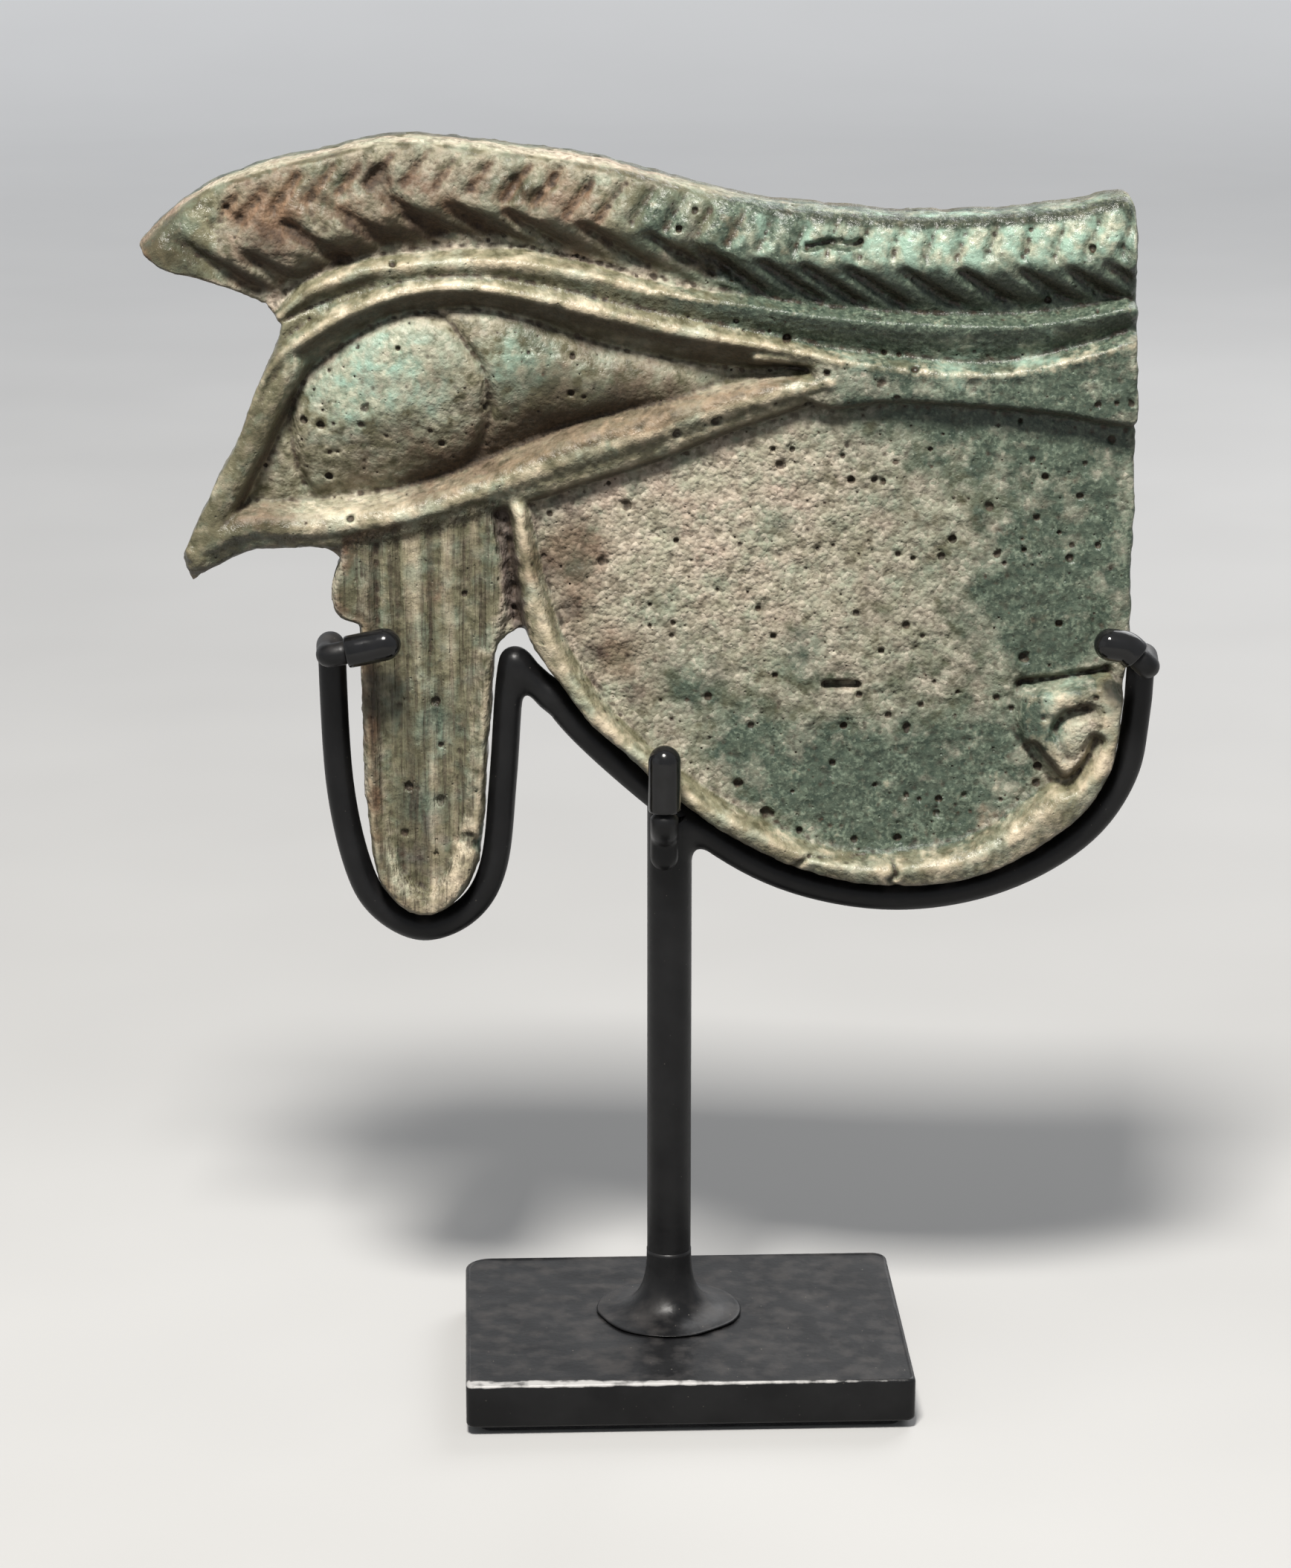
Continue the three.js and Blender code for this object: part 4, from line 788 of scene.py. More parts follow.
def speckle(points, size, seed):
    """Smooth noise in space, at the points"""
    u = points / size
    u = u - u.min(axis=0)
    cell = np.floor(u).astype(int)
    f = u - cell
    f = f * f * (3 - 2 * f)
    lattice = np.random.default_rng(seed).standard_normal(cell.max(axis=0) + 2)
    total = np.zeros(len(points))
    for corner in CORNERS:
        weight = np.prod(np.where(corner, f, 1 - f), axis=1)
        total += weight * lattice[tuple((cell + corner).T)]
    return total / total.std()


def sample(values, points):
    """Values of a map of the face at the points"""
    u = np.clip((points[:, 0] - GX[0]) / STEP, 0, GX.size - 1.001)
    v = np.clip((points[:, 2] - GZ[0]) / STEP, 0, GZ.size - 1.001)
    i, j = u.astype(int), v.astype(int)
    f, g = u - i, v - j
    low = values[i, j] * (1 - f) + values[i + 1, j] * f
    high = values[i, j + 1] * (1 - f) + values[i + 1, j + 1] * f
    return low * (1 - g) + high * g


# The amulet
EDGE_ROUND = 0.5
BACK_ROUND = 0.9
LEVELS = np.arange(-0.8, BROW_LEVEL + 1, STEP)
BACK_Y = STEM_SETBACK + BROW_LEVEL / 2

# Pores: a named pit is three of them; small ones have their smallest radius, growth and rarity
PIT_STEPS = (0.85, 0.65, 0.5)
FACE_PORES = 620
BACK_PORES = 500
SIDE_PORES = 160
FACE_PORE_SIZES = (0.13, 0.32, 5)
BACK_PORE_SIZES = (0.2, 0.4, 3)
SIDE_PORE_SIZES = (0.2, 0.3, 2)


def rounded_meet(a, b, radius):
    """Two solids' common part, with a rounded edge"""
    u, v = np.maximum(a + radius, 0), np.maximum(b + radius, 0)
    return np.minimum(np.maximum(a, b), -radius) + np.hypot(u, v)


def pore(field, centre, radius, depth):
    """Sinks a round pore into the field"""
    spans = []
    for axis, values in enumerate((GX, LEVELS, GZ)):
        reach = (depth if axis == 1 else radius) + STEP
        spans.append(slice(*np.searchsorted(values, (centre[axis] - reach, centre[axis] + reach))))
    x, y, z = GX[spans[0], None, None], LEVELS[None, spans[1], None], GZ[None, None, spans[2]]
    stretch = radius / depth
    away = np.sqrt((x - centre[0]) ** 2 + ((y - centre[1]) * stretch) ** 2 + (z - centre[2]) ** 2)
    field[tuple(spans)] = np.maximum(field[tuple(spans)], radius - away)


def pore_radius(draw, smallest, growth, rarity):
    """Radius of a small pore: large ones are rare"""
    return smallest + growth * draw.random() ** rarity


def sink_pores(field, level, edge, zones):
    """Pores all over: named ones, many small ones on the face, some on the back and the sides"""
    draw = np.random.default_rng(31)
    for x_share, z_share, radius_share, depth_share in PIT_SHARES:
        x, z = place([x_share, z_share])[0]
        top = sample(level, np.array([[x, 0, z]]))[0]
        for share in PIT_STEPS:
            off = draw.uniform(-0.6, 0.6, 2) * radius_share * EYE_WIDTH * (1 - share) * 2
            radius = radius_share * EYE_WIDTH * share
            pore(field, (x + off[0], top, z + off[1]), radius, depth_share * EYE_WIDTH * share)
    wanted = 0.25 + 0.75 * (1 - np.maximum.reduce([zones["brow"], zones["band"], zones["drop"]]))
    inside = np.argwhere((edge < -0.6) & (draw.random(edge.shape) < wanted))
    for i, j in inside[draw.integers(0, len(inside), FACE_PORES)]:
        radius = pore_radius(draw, *FACE_PORE_SIZES)
        pore(field, (GX[i], level[i, j], GZ[j]), radius, radius * draw.uniform(1, 2))
    for i, j in inside[draw.integers(0, len(inside), BACK_PORES)]:
        radius = pore_radius(draw, *BACK_PORE_SIZES)
        pore(field, (GX[i], 0, GZ[j]), radius, radius)
    for x, z in SILHOUETTE[draw.integers(0, len(SILHOUETTE), SIDE_PORES)]:
        radius = pore_radius(draw, *SIDE_PORE_SIZES)
        pore(field, (x, draw.uniform(0.6, 5), z), radius, radius)


def amulet_skin():
    """Points, faces and the maps of the surface"""
    level, zones = relief()
    level = wear(level, zones)
    edge = region(SILHOUETTE)
    edge = edge + 0.07 * grain(41, 2.2) + 0.035 * grain(42, 0.8)
    slope = np.hypot(*np.gradient(level, STEP))
    height = LEVELS[None, :, None]
    front = (height - level[:, None]) / np.sqrt(1 + slope**2)[:, None]
    back = 0.15 + 0.1 * grain(43, 14) + 0.03 * grain(44, 3)
    field = rounded_meet(np.broadcast_to(edge[:, None], front.shape), front, EDGE_ROUND)
    field = rounded_meet(field, back[:, None] - height, BACK_ROUND).astype(np.float32)
    sink_pores(field, level, edge, zones)
    cells, faces = surface(field)
    points = np.column_stack([GX[0], LEVELS[0], GZ[0]]) + cells * STEP
    normals = normals_of(points, faces)
    behind = np.clip(0.3 - normals[:, 1], 0, 1)[:, None]
    rough = 0.02 * speckle(points, 0.5, 51) + 0.05 * speckle(points, 1.3, 52) * behind[:, 0]
    return points + normals * rough[:, None], faces, zones


def painted_maps(zones):
    """How much of each colour lies at each place of the face"""
    brow, band, eye, tail, drop = (zones[k] for k in ("brow", "band", "eye", "tail", "drop"))
    bevel, socket_shade, drop_left = (zones[k] for k in ("bevel", "socket_shade", "drop_left"))
    left_brow = brow * (1 - soft(X_SHARE, 0.35, 0.7)) * soft(X_SHARE, 0.06, 0.1)
    left_lid = band * (1 - soft(X_SHARE, 0.12, 0.2))
    drop_side = drop * soft(Z_SHARE, 0.1, 0.18)
    upper_right = soft(X_SHARE, 0.6, 0.8) * soft(Z_SHARE, 0.62, 0.66)
    teal = stains(TEAL_SHARES) * (1 - 0.5 * band) + 0.25 * brow * (1 - left_brow)
    teal = teal + 0.5 * zones["channel"] * soft(X_SHARE, 0.35, 0.6) + 0.3 * bevel
    teal = teal + 0.4 * zones["fold_right"] + 0.1 * tail * soft(X_SHARE, 0.6, 0.8)
    # brownish film, with painted shade on the brow's bevel and along the foot of the eyeball
    brown_and_shade = stains(BROWN_SHARES) + 0.5 * left_brow + 0.2 * drop + 0.9 * bevel
    brown_and_shade = brown_and_shade + 0.7 * socket_shade + 0.6 * drop_left + 0.5 * left_lid
    brown_and_shade = brown_and_shade + 0.45 * eye * soft(X_SHARE, 0.3, 0.42)
    cream = 0.8 * band * (1 - 0.7 * drop_side) * (1 - 0.8 * zones["fold_right"])
    cream = cream * (1 - 0.5 * upper_right) + 0.55 * zones["spiral"] - 0.5 * left_lid
    worn = 0.95 * plain_field(zones) + 0.5 * eye + 0.2 * drop + 0.15 * tail + 0.25 * left_brow
    worn = worn + 0.15 * band + 0.35 * brow - 0.7 * teal - 0.9 * bevel - 0.6 * zones["tip"]
    return {
        "teal": teal,
        "rust": 0.8 * stains(RUST_SHARES) + (0.1 + 0.5 * zones["stroke"]) * left_brow + 0.5 * drop_left,
        "plum": stains(PLUM_SHARES) * (1 - band) + 1.3 * zones["deposit"],
        # soot on chips and in the strokes, and painted shade along the foot of the eyeball
        "soot": stains(SOOT_AND_SHADE_SHARES) * (1 - 0.8 * band) + 0.8 * socket_shade * (1 - band) + 0.5 * zones["stroke"],
        "cream": cream,
        "worn": worn,
        "mint": stains(MINT_SHARES) * (1 - 0.9 * bevel),
        "streak": drop * (0.4 * grain(61, 0.4, 9) + 0.3 * grain(62, 0.9, 14)),
        "brown_and_shade": brown_and_shade,
        "drop": drop,
        "lee": zones["lee"],
    }


# Meshes
def in_scene(name, data):
    """A new object of the scene"""
    piece = bpy.data.objects.new(name, data)
    bpy.context.scene.collection.objects.link(piece)
    return piece


def smooth_mesh(mesh, material):
    mesh.shade_smooth()
    mesh.materials.append(material)
    return mesh


def make_mesh(name, node, skin, material, body="stand", attributes=None):
    """A named piece from points in millimetres, which rides on a body and replaces a node"""
    points, faces = skin
    mesh = bpy.data.meshes.new(name)
    mesh.from_pydata((np.asarray(points) * MM).tolist(), [], [list(map(int, f)) for f in faces])
    for key, values in (attributes or {}).items():
        layer = mesh.attributes.new(key, "FLOAT", "POINT")
        layer.data.foreach_set("value", np.asarray(values, np.float32))
    piece = in_scene(name, smooth_mesh(mesh, material))
    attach(piece, body)
    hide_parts(node)
    return piece


# Flat layout: how far a face may turn from front or back, and the gap between the sheets
SIDE_SLOPE = 0.3
SHEET_GAP = 4


def lay_out(piece, points, faces, normals):
    """Flat layout of the skin: face and back as sheets side by side, sides as strips below"""
    layer = piece.data.uv_layers.new(name="OFBake")
    facing = normals[faces].mean(axis=1)
    x, y, z = (points - points.min(axis=0)).T
    width, thick, height = np.ptp(points, axis=0) + SHEET_GAP
    group = np.where(facing[:, 1] > SIDE_SLOPE, 0, np.where(facing[:, 1] < -SIDE_SLOPE, 1, 2))
    upright = np.abs(facing[:, 0]) > np.abs(facing[:, 2])
    group[(group == 2) & upright] = 4
    group[(group == 2) & (facing[:, 2] < 0)] = 3
    group[(group == 4) & (facing[:, 0] < 0)] = 5
    x, y, z = x[faces], y[faces], z[faces]
    u = np.choose(group[:, None], [x, x + width, x, x + width, z, z + width])
    v = np.choose(group[:, None], [z + 2 * thick, z + 2 * thick, y, y, y + thick, y + thick])
    size = max(2 * width, height + 2 * thick)
    layer.data.foreach_set("uv", (np.stack([u, v], axis=-1) / size).astype(np.float32).ravel())


# Where the face's colours give way to those of the back; waves of the back's stains; rounds of
# smoothing against which small and large hollows are measured
FACE_LEVELS = [2, 4]
BACK_WAVES = np.array([[0.11, 0, 0.07], [-0.05, 0, 0.12]])
NEAR_ROUNDS = 4
WIDE_ROUNDS = 26


def amulet():
    points, faces, zones = amulet_skin()
    normals = normals_of(points, faces)
    front = soft(points[:, 1], *FACE_LEVELS)
    wave = np.sin(points @ BACK_WAVES[0] + 1) * np.sin(points @ BACK_WAVES[1])
    back = soft(-normals[:, 1], 0.4, 0.8)
    behind = {
        "worn": 0.1 + (0.6 + 0.35 * wave) * back,
        "teal": 0.45 - 0.4 * wave - 0.2 * back,
        "brown_and_shade": 0.7 + 0.2 * wave - 0.4 * back,
    }
    attributes = {
        key: sample(values, points) * front + behind.get(key, 0) * (1 - front)
        for key, values in painted_maps(zones).items()
    }
    # painted shade: where the brow and its bevel face up, less mint, wear and cream and more brown
    top = soft(normals[:, 2], 0.5, 0.9) * soft(sample(zones["brow"] + zones["bevel"], points), 0, 0.5)
    for key in ("mint", "worn", "cream"):
        attributes[key] = attributes[key] * (1 - 0.75 * top)
    attributes["brown_and_shade"] = attributes["brown_and_shade"] + 0.5 * top
    near = relaxed(points, faces, NEAR_ROUNDS)
    wide = relaxed(near, faces, WIDE_ROUNDS)
    attributes["cavity"] = np.einsum("ij,ij->i", near - points, normals)
    attributes["hollow"] = np.einsum("ij,ij->i", wide - near, normals)
    x, y, z = points.T
    placed = np.column_stack([x + EYE_OFFSET, BACK_Y - y, z + EYE_REST_HEIGHT])
    piece = make_mesh(
        "amulet", "amulet_body", (placed, faces), faience(), "amulet", attributes
    )
    lay_out(piece, points, faces, normals)


# Paths of the mount's wires
WIRE_RADIUS = WIRE_DIAMETER / 2
STEM_RADIUS = STEM_DIAMETER / 2
SLEEVE_RADIUS = SLEEVE_DIAMETER / 2
PRONG_RADIUS = PRONG_DIAMETER / 2
BASE_TOP = FELT_THICKNESS + BASE_THICKNESS
WIRE_Y = STEM_SETBACK
PRONG_Y = BACK_Y - BROW_LEVEL - CLEARANCE - SLEEVE_RADIUS
WIRE_OFFSET = CLEARANCE + WIRE_RADIUS
WIRE_START_SHARE = 0.35
LEFT_CORNER_SHARE = 0.352
LEFT_PRONG_RISE_DEGREES = 12
LEG_LEAN = 1.05
LEAN_SHARES = [0.03, 0.212]
DROP_MIDDLE_SHARE = 0.25
CENTRE_EDGE_SHARE = 0.166
CENTRE_TIP_SHARE = 0.237
RIGHT_CORNER_SHARE = 0.337
RIGHT_START_SHARE = 0.45
RIGHT_BEND_SHARES = [0.985, 0.364]
RIGHT_PRONG_SHARES = [0.953, 0.37]
CORNER_RADIUS = 2
FRONT_RADIUS = 1.2
STRAIGHT_RADIUS = 0.1
RIGHT_BEND_RADIUS = 1.2
CENTRE_BEND_RADIUS = 1.6
SLEEVE_BEND_RADIUS = 1.4
FRONT_SHARE = 0.84
STEP_LENGTH = 0.3
ROOT_SINK = 1
ARC_ROUNDS = 8
TURN_STEPS = 9
TURN_LIMIT_SHARE = 0.49


def in_mount(shares, y):
    """Point of the mount at a place of the amulet's face"""
    x, z = place(shares)[0]
    return np.array([EYE_OFFSET + x, y, EYE_REST_HEIGHT + z])


def height_of(z_share):
    return in_mount([0, z_share], 0)[2]


def beside_edge(shares):
    """Points outside an edge of the amulet, at the wire's distance"""
    at = place(shares)
    along = np.gradient(at, axis=0)
    along /= np.linalg.norm(along, axis=1, keepdims=True)
    out = np.column_stack([-along[:, 1], along[:, 0]]) * WIRE_OFFSET
    x, z = (at + out).T
    return np.column_stack([EYE_OFFSET + x, np.full(len(x), WIRE_Y), EYE_REST_HEIGHT + z])


def turned(points, radii):
    """Polyline whose inner corners are rounded with the given radii"""
    line = [points[0]]
    for before, at, after, radius in zip(points[:-2], points[1:-1], points[2:], radii):
        back, on = before - at, after - at
        lengths = np.linalg.norm(back), np.linalg.norm(on)
        back, on = back / lengths[0], on / lengths[1]
        turn = math.pi - math.acos(np.clip(back @ on, -1, 1))
        reach = min(radius * math.tan(turn / 2), TURN_LIMIT_SHARE * min(lengths))
        for t in np.linspace(0, 1, TURN_STEPS):
            line.append(at + back * reach * (1 - t) ** 2 + on * reach * t**2)
    return np.array([*line, points[-1]])


def without_end(line, length):
    """The line up to where its last stretch of the given length starts"""
    return line[np.linalg.norm(line - line[-1], axis=1) > length]


def left_prong_points():
    leg = beside_edge(DROP_EDGE_SHARES)[-2]
    corner = np.array([leg[0] - LEG_LEAN, WIRE_Y, height_of(LEFT_CORNER_SHARE)])
    front = np.array([corner[0], PRONG_Y, corner[2]])
    angle = math.radians(LEFT_PRONG_RISE_DEGREES)
    along = np.array([math.cos(angle), 0, math.sin(angle)])
    return corner, front, front + along * PRONG_BEND, front + along * (PRONG_BEND + SLEEVE_LENGTH)


def left_loop():
    beside = beside_edge(DROP_EDGE_SHARES)
    top = beside[0] + (beside[1] - beside[0]) * WIRE_START_SHARE
    outer = beside[:, 0] < in_mount([DROP_MIDDLE_SHARE, 0], 0)[0]
    beside[:, 0] -= LEG_LEAN * soft(beside[:, 2], *map(height_of, LEAN_SHARES)) * outer
    return spline([top, *beside[1:-1], left_prong_points()[0]], CURVE_STEPS)


def right_prong_points():
    leg = beside_edge(CURL_EDGE_SHARES)[0]
    corner = np.array([leg[0], WIRE_Y, height_of(RIGHT_CORNER_SHARE)])
    front = np.array([corner[0], PRONG_Y, corner[2]])
    bend = in_mount(RIGHT_BEND_SHARES, PRONG_Y)
    start = front + (bend - front) * RIGHT_START_SHARE
    return corner, front, start, bend, in_mount(RIGHT_PRONG_SHARES, PRONG_Y)


def right_arc():
    beside = beside_edge(CURL_EDGE_SHARES)
    line = spline([right_prong_points()[0], *beside[:-1]], CURVE_STEPS)
    for _ in range(ARC_ROUNDS):
        line[1:-1] = (line[:-2] + 2 * line[1:-1] + line[2:]) / 4
    return line[::-1]


def centre_prong_points():
    across = STEM_OFFSET + CENTRE_PRONG_OFFSET
    bottom = height_of(CENTRE_EDGE_SHARE) - WIRE_DIAMETER
    start = np.array([across, PRONG_Y, bottom])
    low = np.array([across, STEM_SETBACK - STEM_RADIUS - CLEARANCE - WIRE_RADIUS, bottom - PRONG_BEND])
    root = low - (0, 0, CENTRE_ROOT_LENGTH)
    return root, low, start, np.array([across, PRONG_Y, height_of(CENTRE_TIP_SHARE)])


# Round pieces swept along a path
SIDES = 40
STEM_SIDES = 64
FOOT_SIDES = 96
SWEEP_STEP = 0.25
RING_STEP = 0.3
ANY_DIRECTION = (0.2, 0.9, 0.4)


def unit(vector):
    return vector / np.linalg.norm(vector)


def measured(path):
    """The path at even steps, with its length so far, tangents and steady normals"""
    so_far = lengths_along(path)
    s = np.linspace(0, so_far[-1], int(so_far[-1] / SWEEP_STEP) + 2)
    points = read_off(path, so_far, s)
    tangents = np.gradient(points, axis=0)
    tangents /= np.linalg.norm(tangents, axis=1, keepdims=True)
    normal = np.cross(tangents[0], ANY_DIRECTION)
    normals = []
    for tangent in tangents:
        normal = unit(normal - tangent * (normal @ tangent))
        normals.append(normal)
    return s, points, tangents, np.array(normals)


def sweep(path, profile, sides=SIDES):
    """Skin of rings along a path: profile lists how far along each ring lies and its radius"""
    s, points, tangents, normals = measured(np.asarray(path, float))
    angles = np.linspace(0, 2 * math.pi, sides, endpoint=False)
    rings, ends = [], []
    for along, radius in profile:
        at = read_off(points, s, along)
        if radius <= 0:
            ends.append(at)
            continue
        tangent = unit(read_off(tangents, s, along))
        normal = read_off(normals, s, along)
        normal = unit(normal - tangent * (normal @ tangent))
        other = np.cross(tangent, normal)
        rings.append(at + radius * (np.cos(angles)[:, None] * normal + np.sin(angles)[:, None] * other))
    return capped(rings, ends)


def capped(rings, ends):
    """Joins rings into a closed skin, with a point at each end"""
    sides = len(rings[0])
    points = np.vstack([*rings, *ends])
    faces = []
    for i in range(len(rings) - 1):
        for j in range(sides):
            k = (j + 1) % sides
            faces.append((i * sides + j, i * sides + k, (i + 1) * sides + k, (i + 1) * sides + j))
    last = (len(rings) - 1) * sides
    for j in range(sides):
        k = (j + 1) % sides
        faces.append((len(rings) * sides, k, j))
        faces.append((len(rings) * sides + 1, last + j, last + k))
    return points, faces


def rod_profile(length, radius, radii):
    """A rod with rounded ends, whose radii are listed at some lengths along it"""
    along = np.arange(radius + 0.2, length - 0.2, RING_STEP)
    widths = np.interp(along, *zip(*radii))
    turns = np.linspace(0, math.pi / 2, 9)
    start = [(radius * (1 - math.cos(t)), radius * math.sin(t)) for t in turns]
    end = widths[-1]
    finish = [(length - 0.07, end * 0.93), (length, end * 0.75), (length, 0)]
    return [*start, *zip(along, widths), *finish]


def sleeve_profile(length):
    """A sleeve with a round closed end: out along its outside and back along its bore"""
    bore = SLEEVE_RADIUS - SLEEVE_WALL
    inner_end = length - SLEEVE_RADIUS
    profile = [(inner_end, 0), (inner_end, bore), (0.05, bore), (0, bore + 0.12)]
    profile += [(0, SLEEVE_RADIUS - 0.2), (0.06, SLEEVE_RADIUS - 0.06), (0.2, SLEEVE_RADIUS)]
    profile += [(s, SLEEVE_RADIUS) for s in np.arange(0.5, inner_end, RING_STEP)]
    for angle in np.linspace(0, math.pi / 2, 14)[:-1]:
        profile.append((inner_end + SLEEVE_RADIUS * math.sin(angle), SLEEVE_RADIUS * math.cos(angle)))
    return [*profile, (length, 0)]


def length_of(path):
    return lengths_along(path)[-1]


# Where a wire thins before its turn to the front, and how far it overlaps the thin end
FRONT_TAPER = (4.3, 1.5)
WIRE_OVERLAP = 0.4


def wire_piece(node, loop, points, radii, paint):
    """A cradle wire with its prong: the loop, the turn to the front, and the thin end in its sleeve"""
    loop = without_end(loop, CORNER_RADIUS * 2)
    corners = turned(np.array([loop[-1], *points]), [CORNER_RADIUS, *radii])
    path = np.vstack([loop, corners[1:]])
    length = length_of(path)
    to_start = length - length_of(turned(np.array(points[2:]), radii[1:])) + WIRE_OVERLAP
    to_front = to_start - length_of(np.array(points[1:3]))
    front_radius = WIRE_RADIUS * FRONT_SHARE
    widths = [(to_front - FRONT_TAPER[0], WIRE_RADIUS), (to_front - FRONT_TAPER[1], front_radius)]
    widths += [(to_start - STEP_LENGTH, front_radius), (to_start + STEP_LENGTH, PRONG_RADIUS)]
    profile = rod_profile(length - SLEEVE_RADIUS - CLEARANCE, WIRE_RADIUS, widths)
    make_mesh(node + "_rod", node, sweep(path, profile), paint)


def left_wire(paint):
    radii = [FRONT_RADIUS, STRAIGHT_RADIUS]
    wire_piece("left_cradle_wire", left_loop(), left_prong_points(), radii, paint)


def right_wire(paint):
    radii = [FRONT_RADIUS, STRAIGHT_RADIUS, RIGHT_BEND_RADIUS]
    wire_piece("right_cradle_wire", right_arc(), right_prong_points(), radii, paint)


def sleeve_piece(node, points, gloss):
    path = np.array(points)
    path[0] = path[0] + unit(path[1] - path[0]) * CLEARANCE
    path = turned(path, [SLEEVE_BEND_RADIUS]) if len(path) > 2 else path
    make_mesh(node + "_tube", node, sweep(path, sleeve_profile(length_of(path))), gloss)


def sleeves(gloss):
    sleeve_piece("left_prong_sleeve", left_prong_points()[2:], gloss)
    sleeve_piece("right_prong_sleeve", right_prong_points()[2:], gloss)
    start, tip = centre_prong_points()[2:]
    sleeve_piece("centre_prong_sleeve", (start + (0, 0, WIRE_RADIUS), tip), gloss)


def centre_prong(paint):
    root, low, start, tip = centre_prong_points()
    root, low = root + (0, ROOT_SINK, 0), low + (0, ROOT_SINK, 0)
    path = turned(np.array([root, low, start, tip]), [CENTRE_BEND_RADIUS] * 2)
    length = length_of(path)
    step = length - (tip[2] - start[2]) + WIRE_RADIUS
    widths = [(0, WIRE_RADIUS), (step - STEP_LENGTH, WIRE_RADIUS), (step + STEP_LENGTH, PRONG_RADIUS)]
    profile = rod_profile(length - SLEEVE_RADIUS - CLEARANCE, WIRE_RADIUS, widths)
    make_mesh("centre_prong_rod", "centre_prong", sweep(path, profile), paint)


# The stem: rings along it and its sink into the wire; rings and curves of the filler at its foot
STEM_RINGS = 40
STEM_TOP_SINK = 0.3
FOOT_RINGS = 36
FOOT_NARROWING = 2.4
FOOT_RISE = 1.9


def on_stem(z):
    """Point of the stem's middle line"""
    return np.array([STEM_OFFSET, STEM_SETBACK, z])


def wire_height(arc, x):
    """Height of the right wire's middle at a place across"""
    order = np.argsort(arc[:, 0])
    return np.interp(x, arc[order, 0], arc[order, 2])


def stem(paint):
    """Upright rod whose top follows the wire that it carries"""
    arc = right_arc()
    top = wire_height(arc, STEM_OFFSET)
    length = top - BASE_TOP
    rings = [(s, STEM_RADIUS) for s in (0, *np.linspace(0.5, length - 0.5, STEM_RINGS), length)]
    points, faces = sweep([on_stem(BASE_TOP), on_stem(top)], [(0, 0), *rings, (length, 0)], STEM_SIDES)
    at_top = points[:, 2] > top - 0.1
    points[at_top, 2] = wire_height(arc, points[at_top, 0]) - STEM_TOP_SINK
    make_mesh("stem_rod", "stem", (points, faces), paint)


def stem_foot(paint):
    """Filler that sweeps from the plate up to the rod, a little uneven"""
    profile = [(0, 0), (0, FOOT_RADIUS)]
    for share in np.linspace(0, 1, FOOT_RINGS)[1:]:
        radius = STEM_RADIUS + 0.05 + (FOOT_RADIUS - STEM_RADIUS) * (1 - share) ** FOOT_NARROWING
        profile.append((0.06 + (FOOT_HEIGHT - 0.1) * share**FOOT_RISE, radius))
    path = [on_stem(BASE_TOP), on_stem(BASE_TOP + FOOT_HEIGHT)]
    points, faces = sweep(path, [*profile, (FOOT_HEIGHT, 0)], FOOT_SIDES)
    middle = on_stem(0)[:2]
    out = points[:, :2] - middle
    away = np.linalg.norm(out, axis=1)
    swell = 1 + 0.012 * speckle(points, 4, 61) * soft(away, STEM_RADIUS + 0.2, STEM_RADIUS + 2)
    swell = np.minimum(swell, FOOT_RADIUS / np.maximum(away, TINY))
    points[:, :2] = middle + out * swell[:, None]
    make_mesh("stem_foot_filler", "stem_foot_fillet", (points, faces), paint)


# Brazes: grid of their skins, how far each reaches round its middle and how softly it blends
BRAZE_STEP = 0.15
HEAD_BRAZE_SHIFT = (1.4, 0, -2.6)
HEAD_BRAZE_REACH = 4.2
NOTCH_BRAZE_REACH = 4.8
HEAD_BRAZE_BLEND = 1.8
NOTCH_BRAZE_BLEND = 1.2


def braze(name, node, centre, reach, rods, blend, paint):
    """Smooth metal where rods meet, which sinks into them at its ends: each rod is points and radius"""
    axes = [np.arange(c - reach - 0.6, c + reach + 0.6, BRAZE_STEP) for c in centre]
    grid = np.stack(np.meshgrid(*axes, indexing="ij"), axis=-1)
    plain = solid = np.full(grid.shape[:3], float(FAR))
    for line, radius in rods:
        line = line[np.linalg.norm(line - centre, axis=1) < reach + 4]
        away = np.min([np.linalg.norm(grid - p, axis=-1) for p in line], axis=0) - radius
        plain = np.minimum(plain, away)
        solid = smin(solid, away, blend)
    out = np.linalg.norm(grid - centre, axis=-1)
    share = 1 - soft(out, 0.4 * reach, 0.97 * reach)
    field = plain + (solid - plain) * share + 0.1 * (0.5 - share)
    cells, faces = surface(smax(field, out - reach, 0.3))
    points = relaxed(np.array([a[0] for a in axes]) + cells * BRAZE_STEP, faces, 2)
    make_mesh(name, node, (points, [f[::-1] for f in faces]), paint)


def dense(points):
    """The line with points at the even steps of a sweep"""
    return measured(np.asarray(points, float))[1]


def brazes(paint):
    arc, loop = right_arc(), left_loop()
    wires = [(dense(arc), WIRE_RADIUS), (dense(loop), WIRE_RADIUS)]
    over = wire_height(arc, STEM_OFFSET)
    rod = (dense([on_stem(over - 14), on_stem(over - STEM_RADIUS)]), STEM_RADIUS)
    centre = on_stem(over) + HEAD_BRAZE_SHIFT
    rods = [rod, wires[0]]
    braze("stem_head_joint", "stem_head_braze", centre, HEAD_BRAZE_REACH, rods, HEAD_BRAZE_BLEND, paint)
    bridge = (dense([loop[0], arc[0]]), WIRE_RADIUS)
    middle = (loop[0] + arc[0]) / 2
    rods = [wires[1], wires[0], bridge]
    braze("notch_joint", "notch_braze", middle, NOTCH_BRAZE_REACH, rods, NOTCH_BRAZE_BLEND, paint)


# Base
OUTLINE_STEP = 0.6
CORNER_STEPS = 8
PLATE_CORNER_RADII = [0.7, 1.2, 2.2, 0.7]
PLATE_EDGE = 0.45
FELT_CORNER_RADIUS = 1.2
FELT_EDGE = 0.15


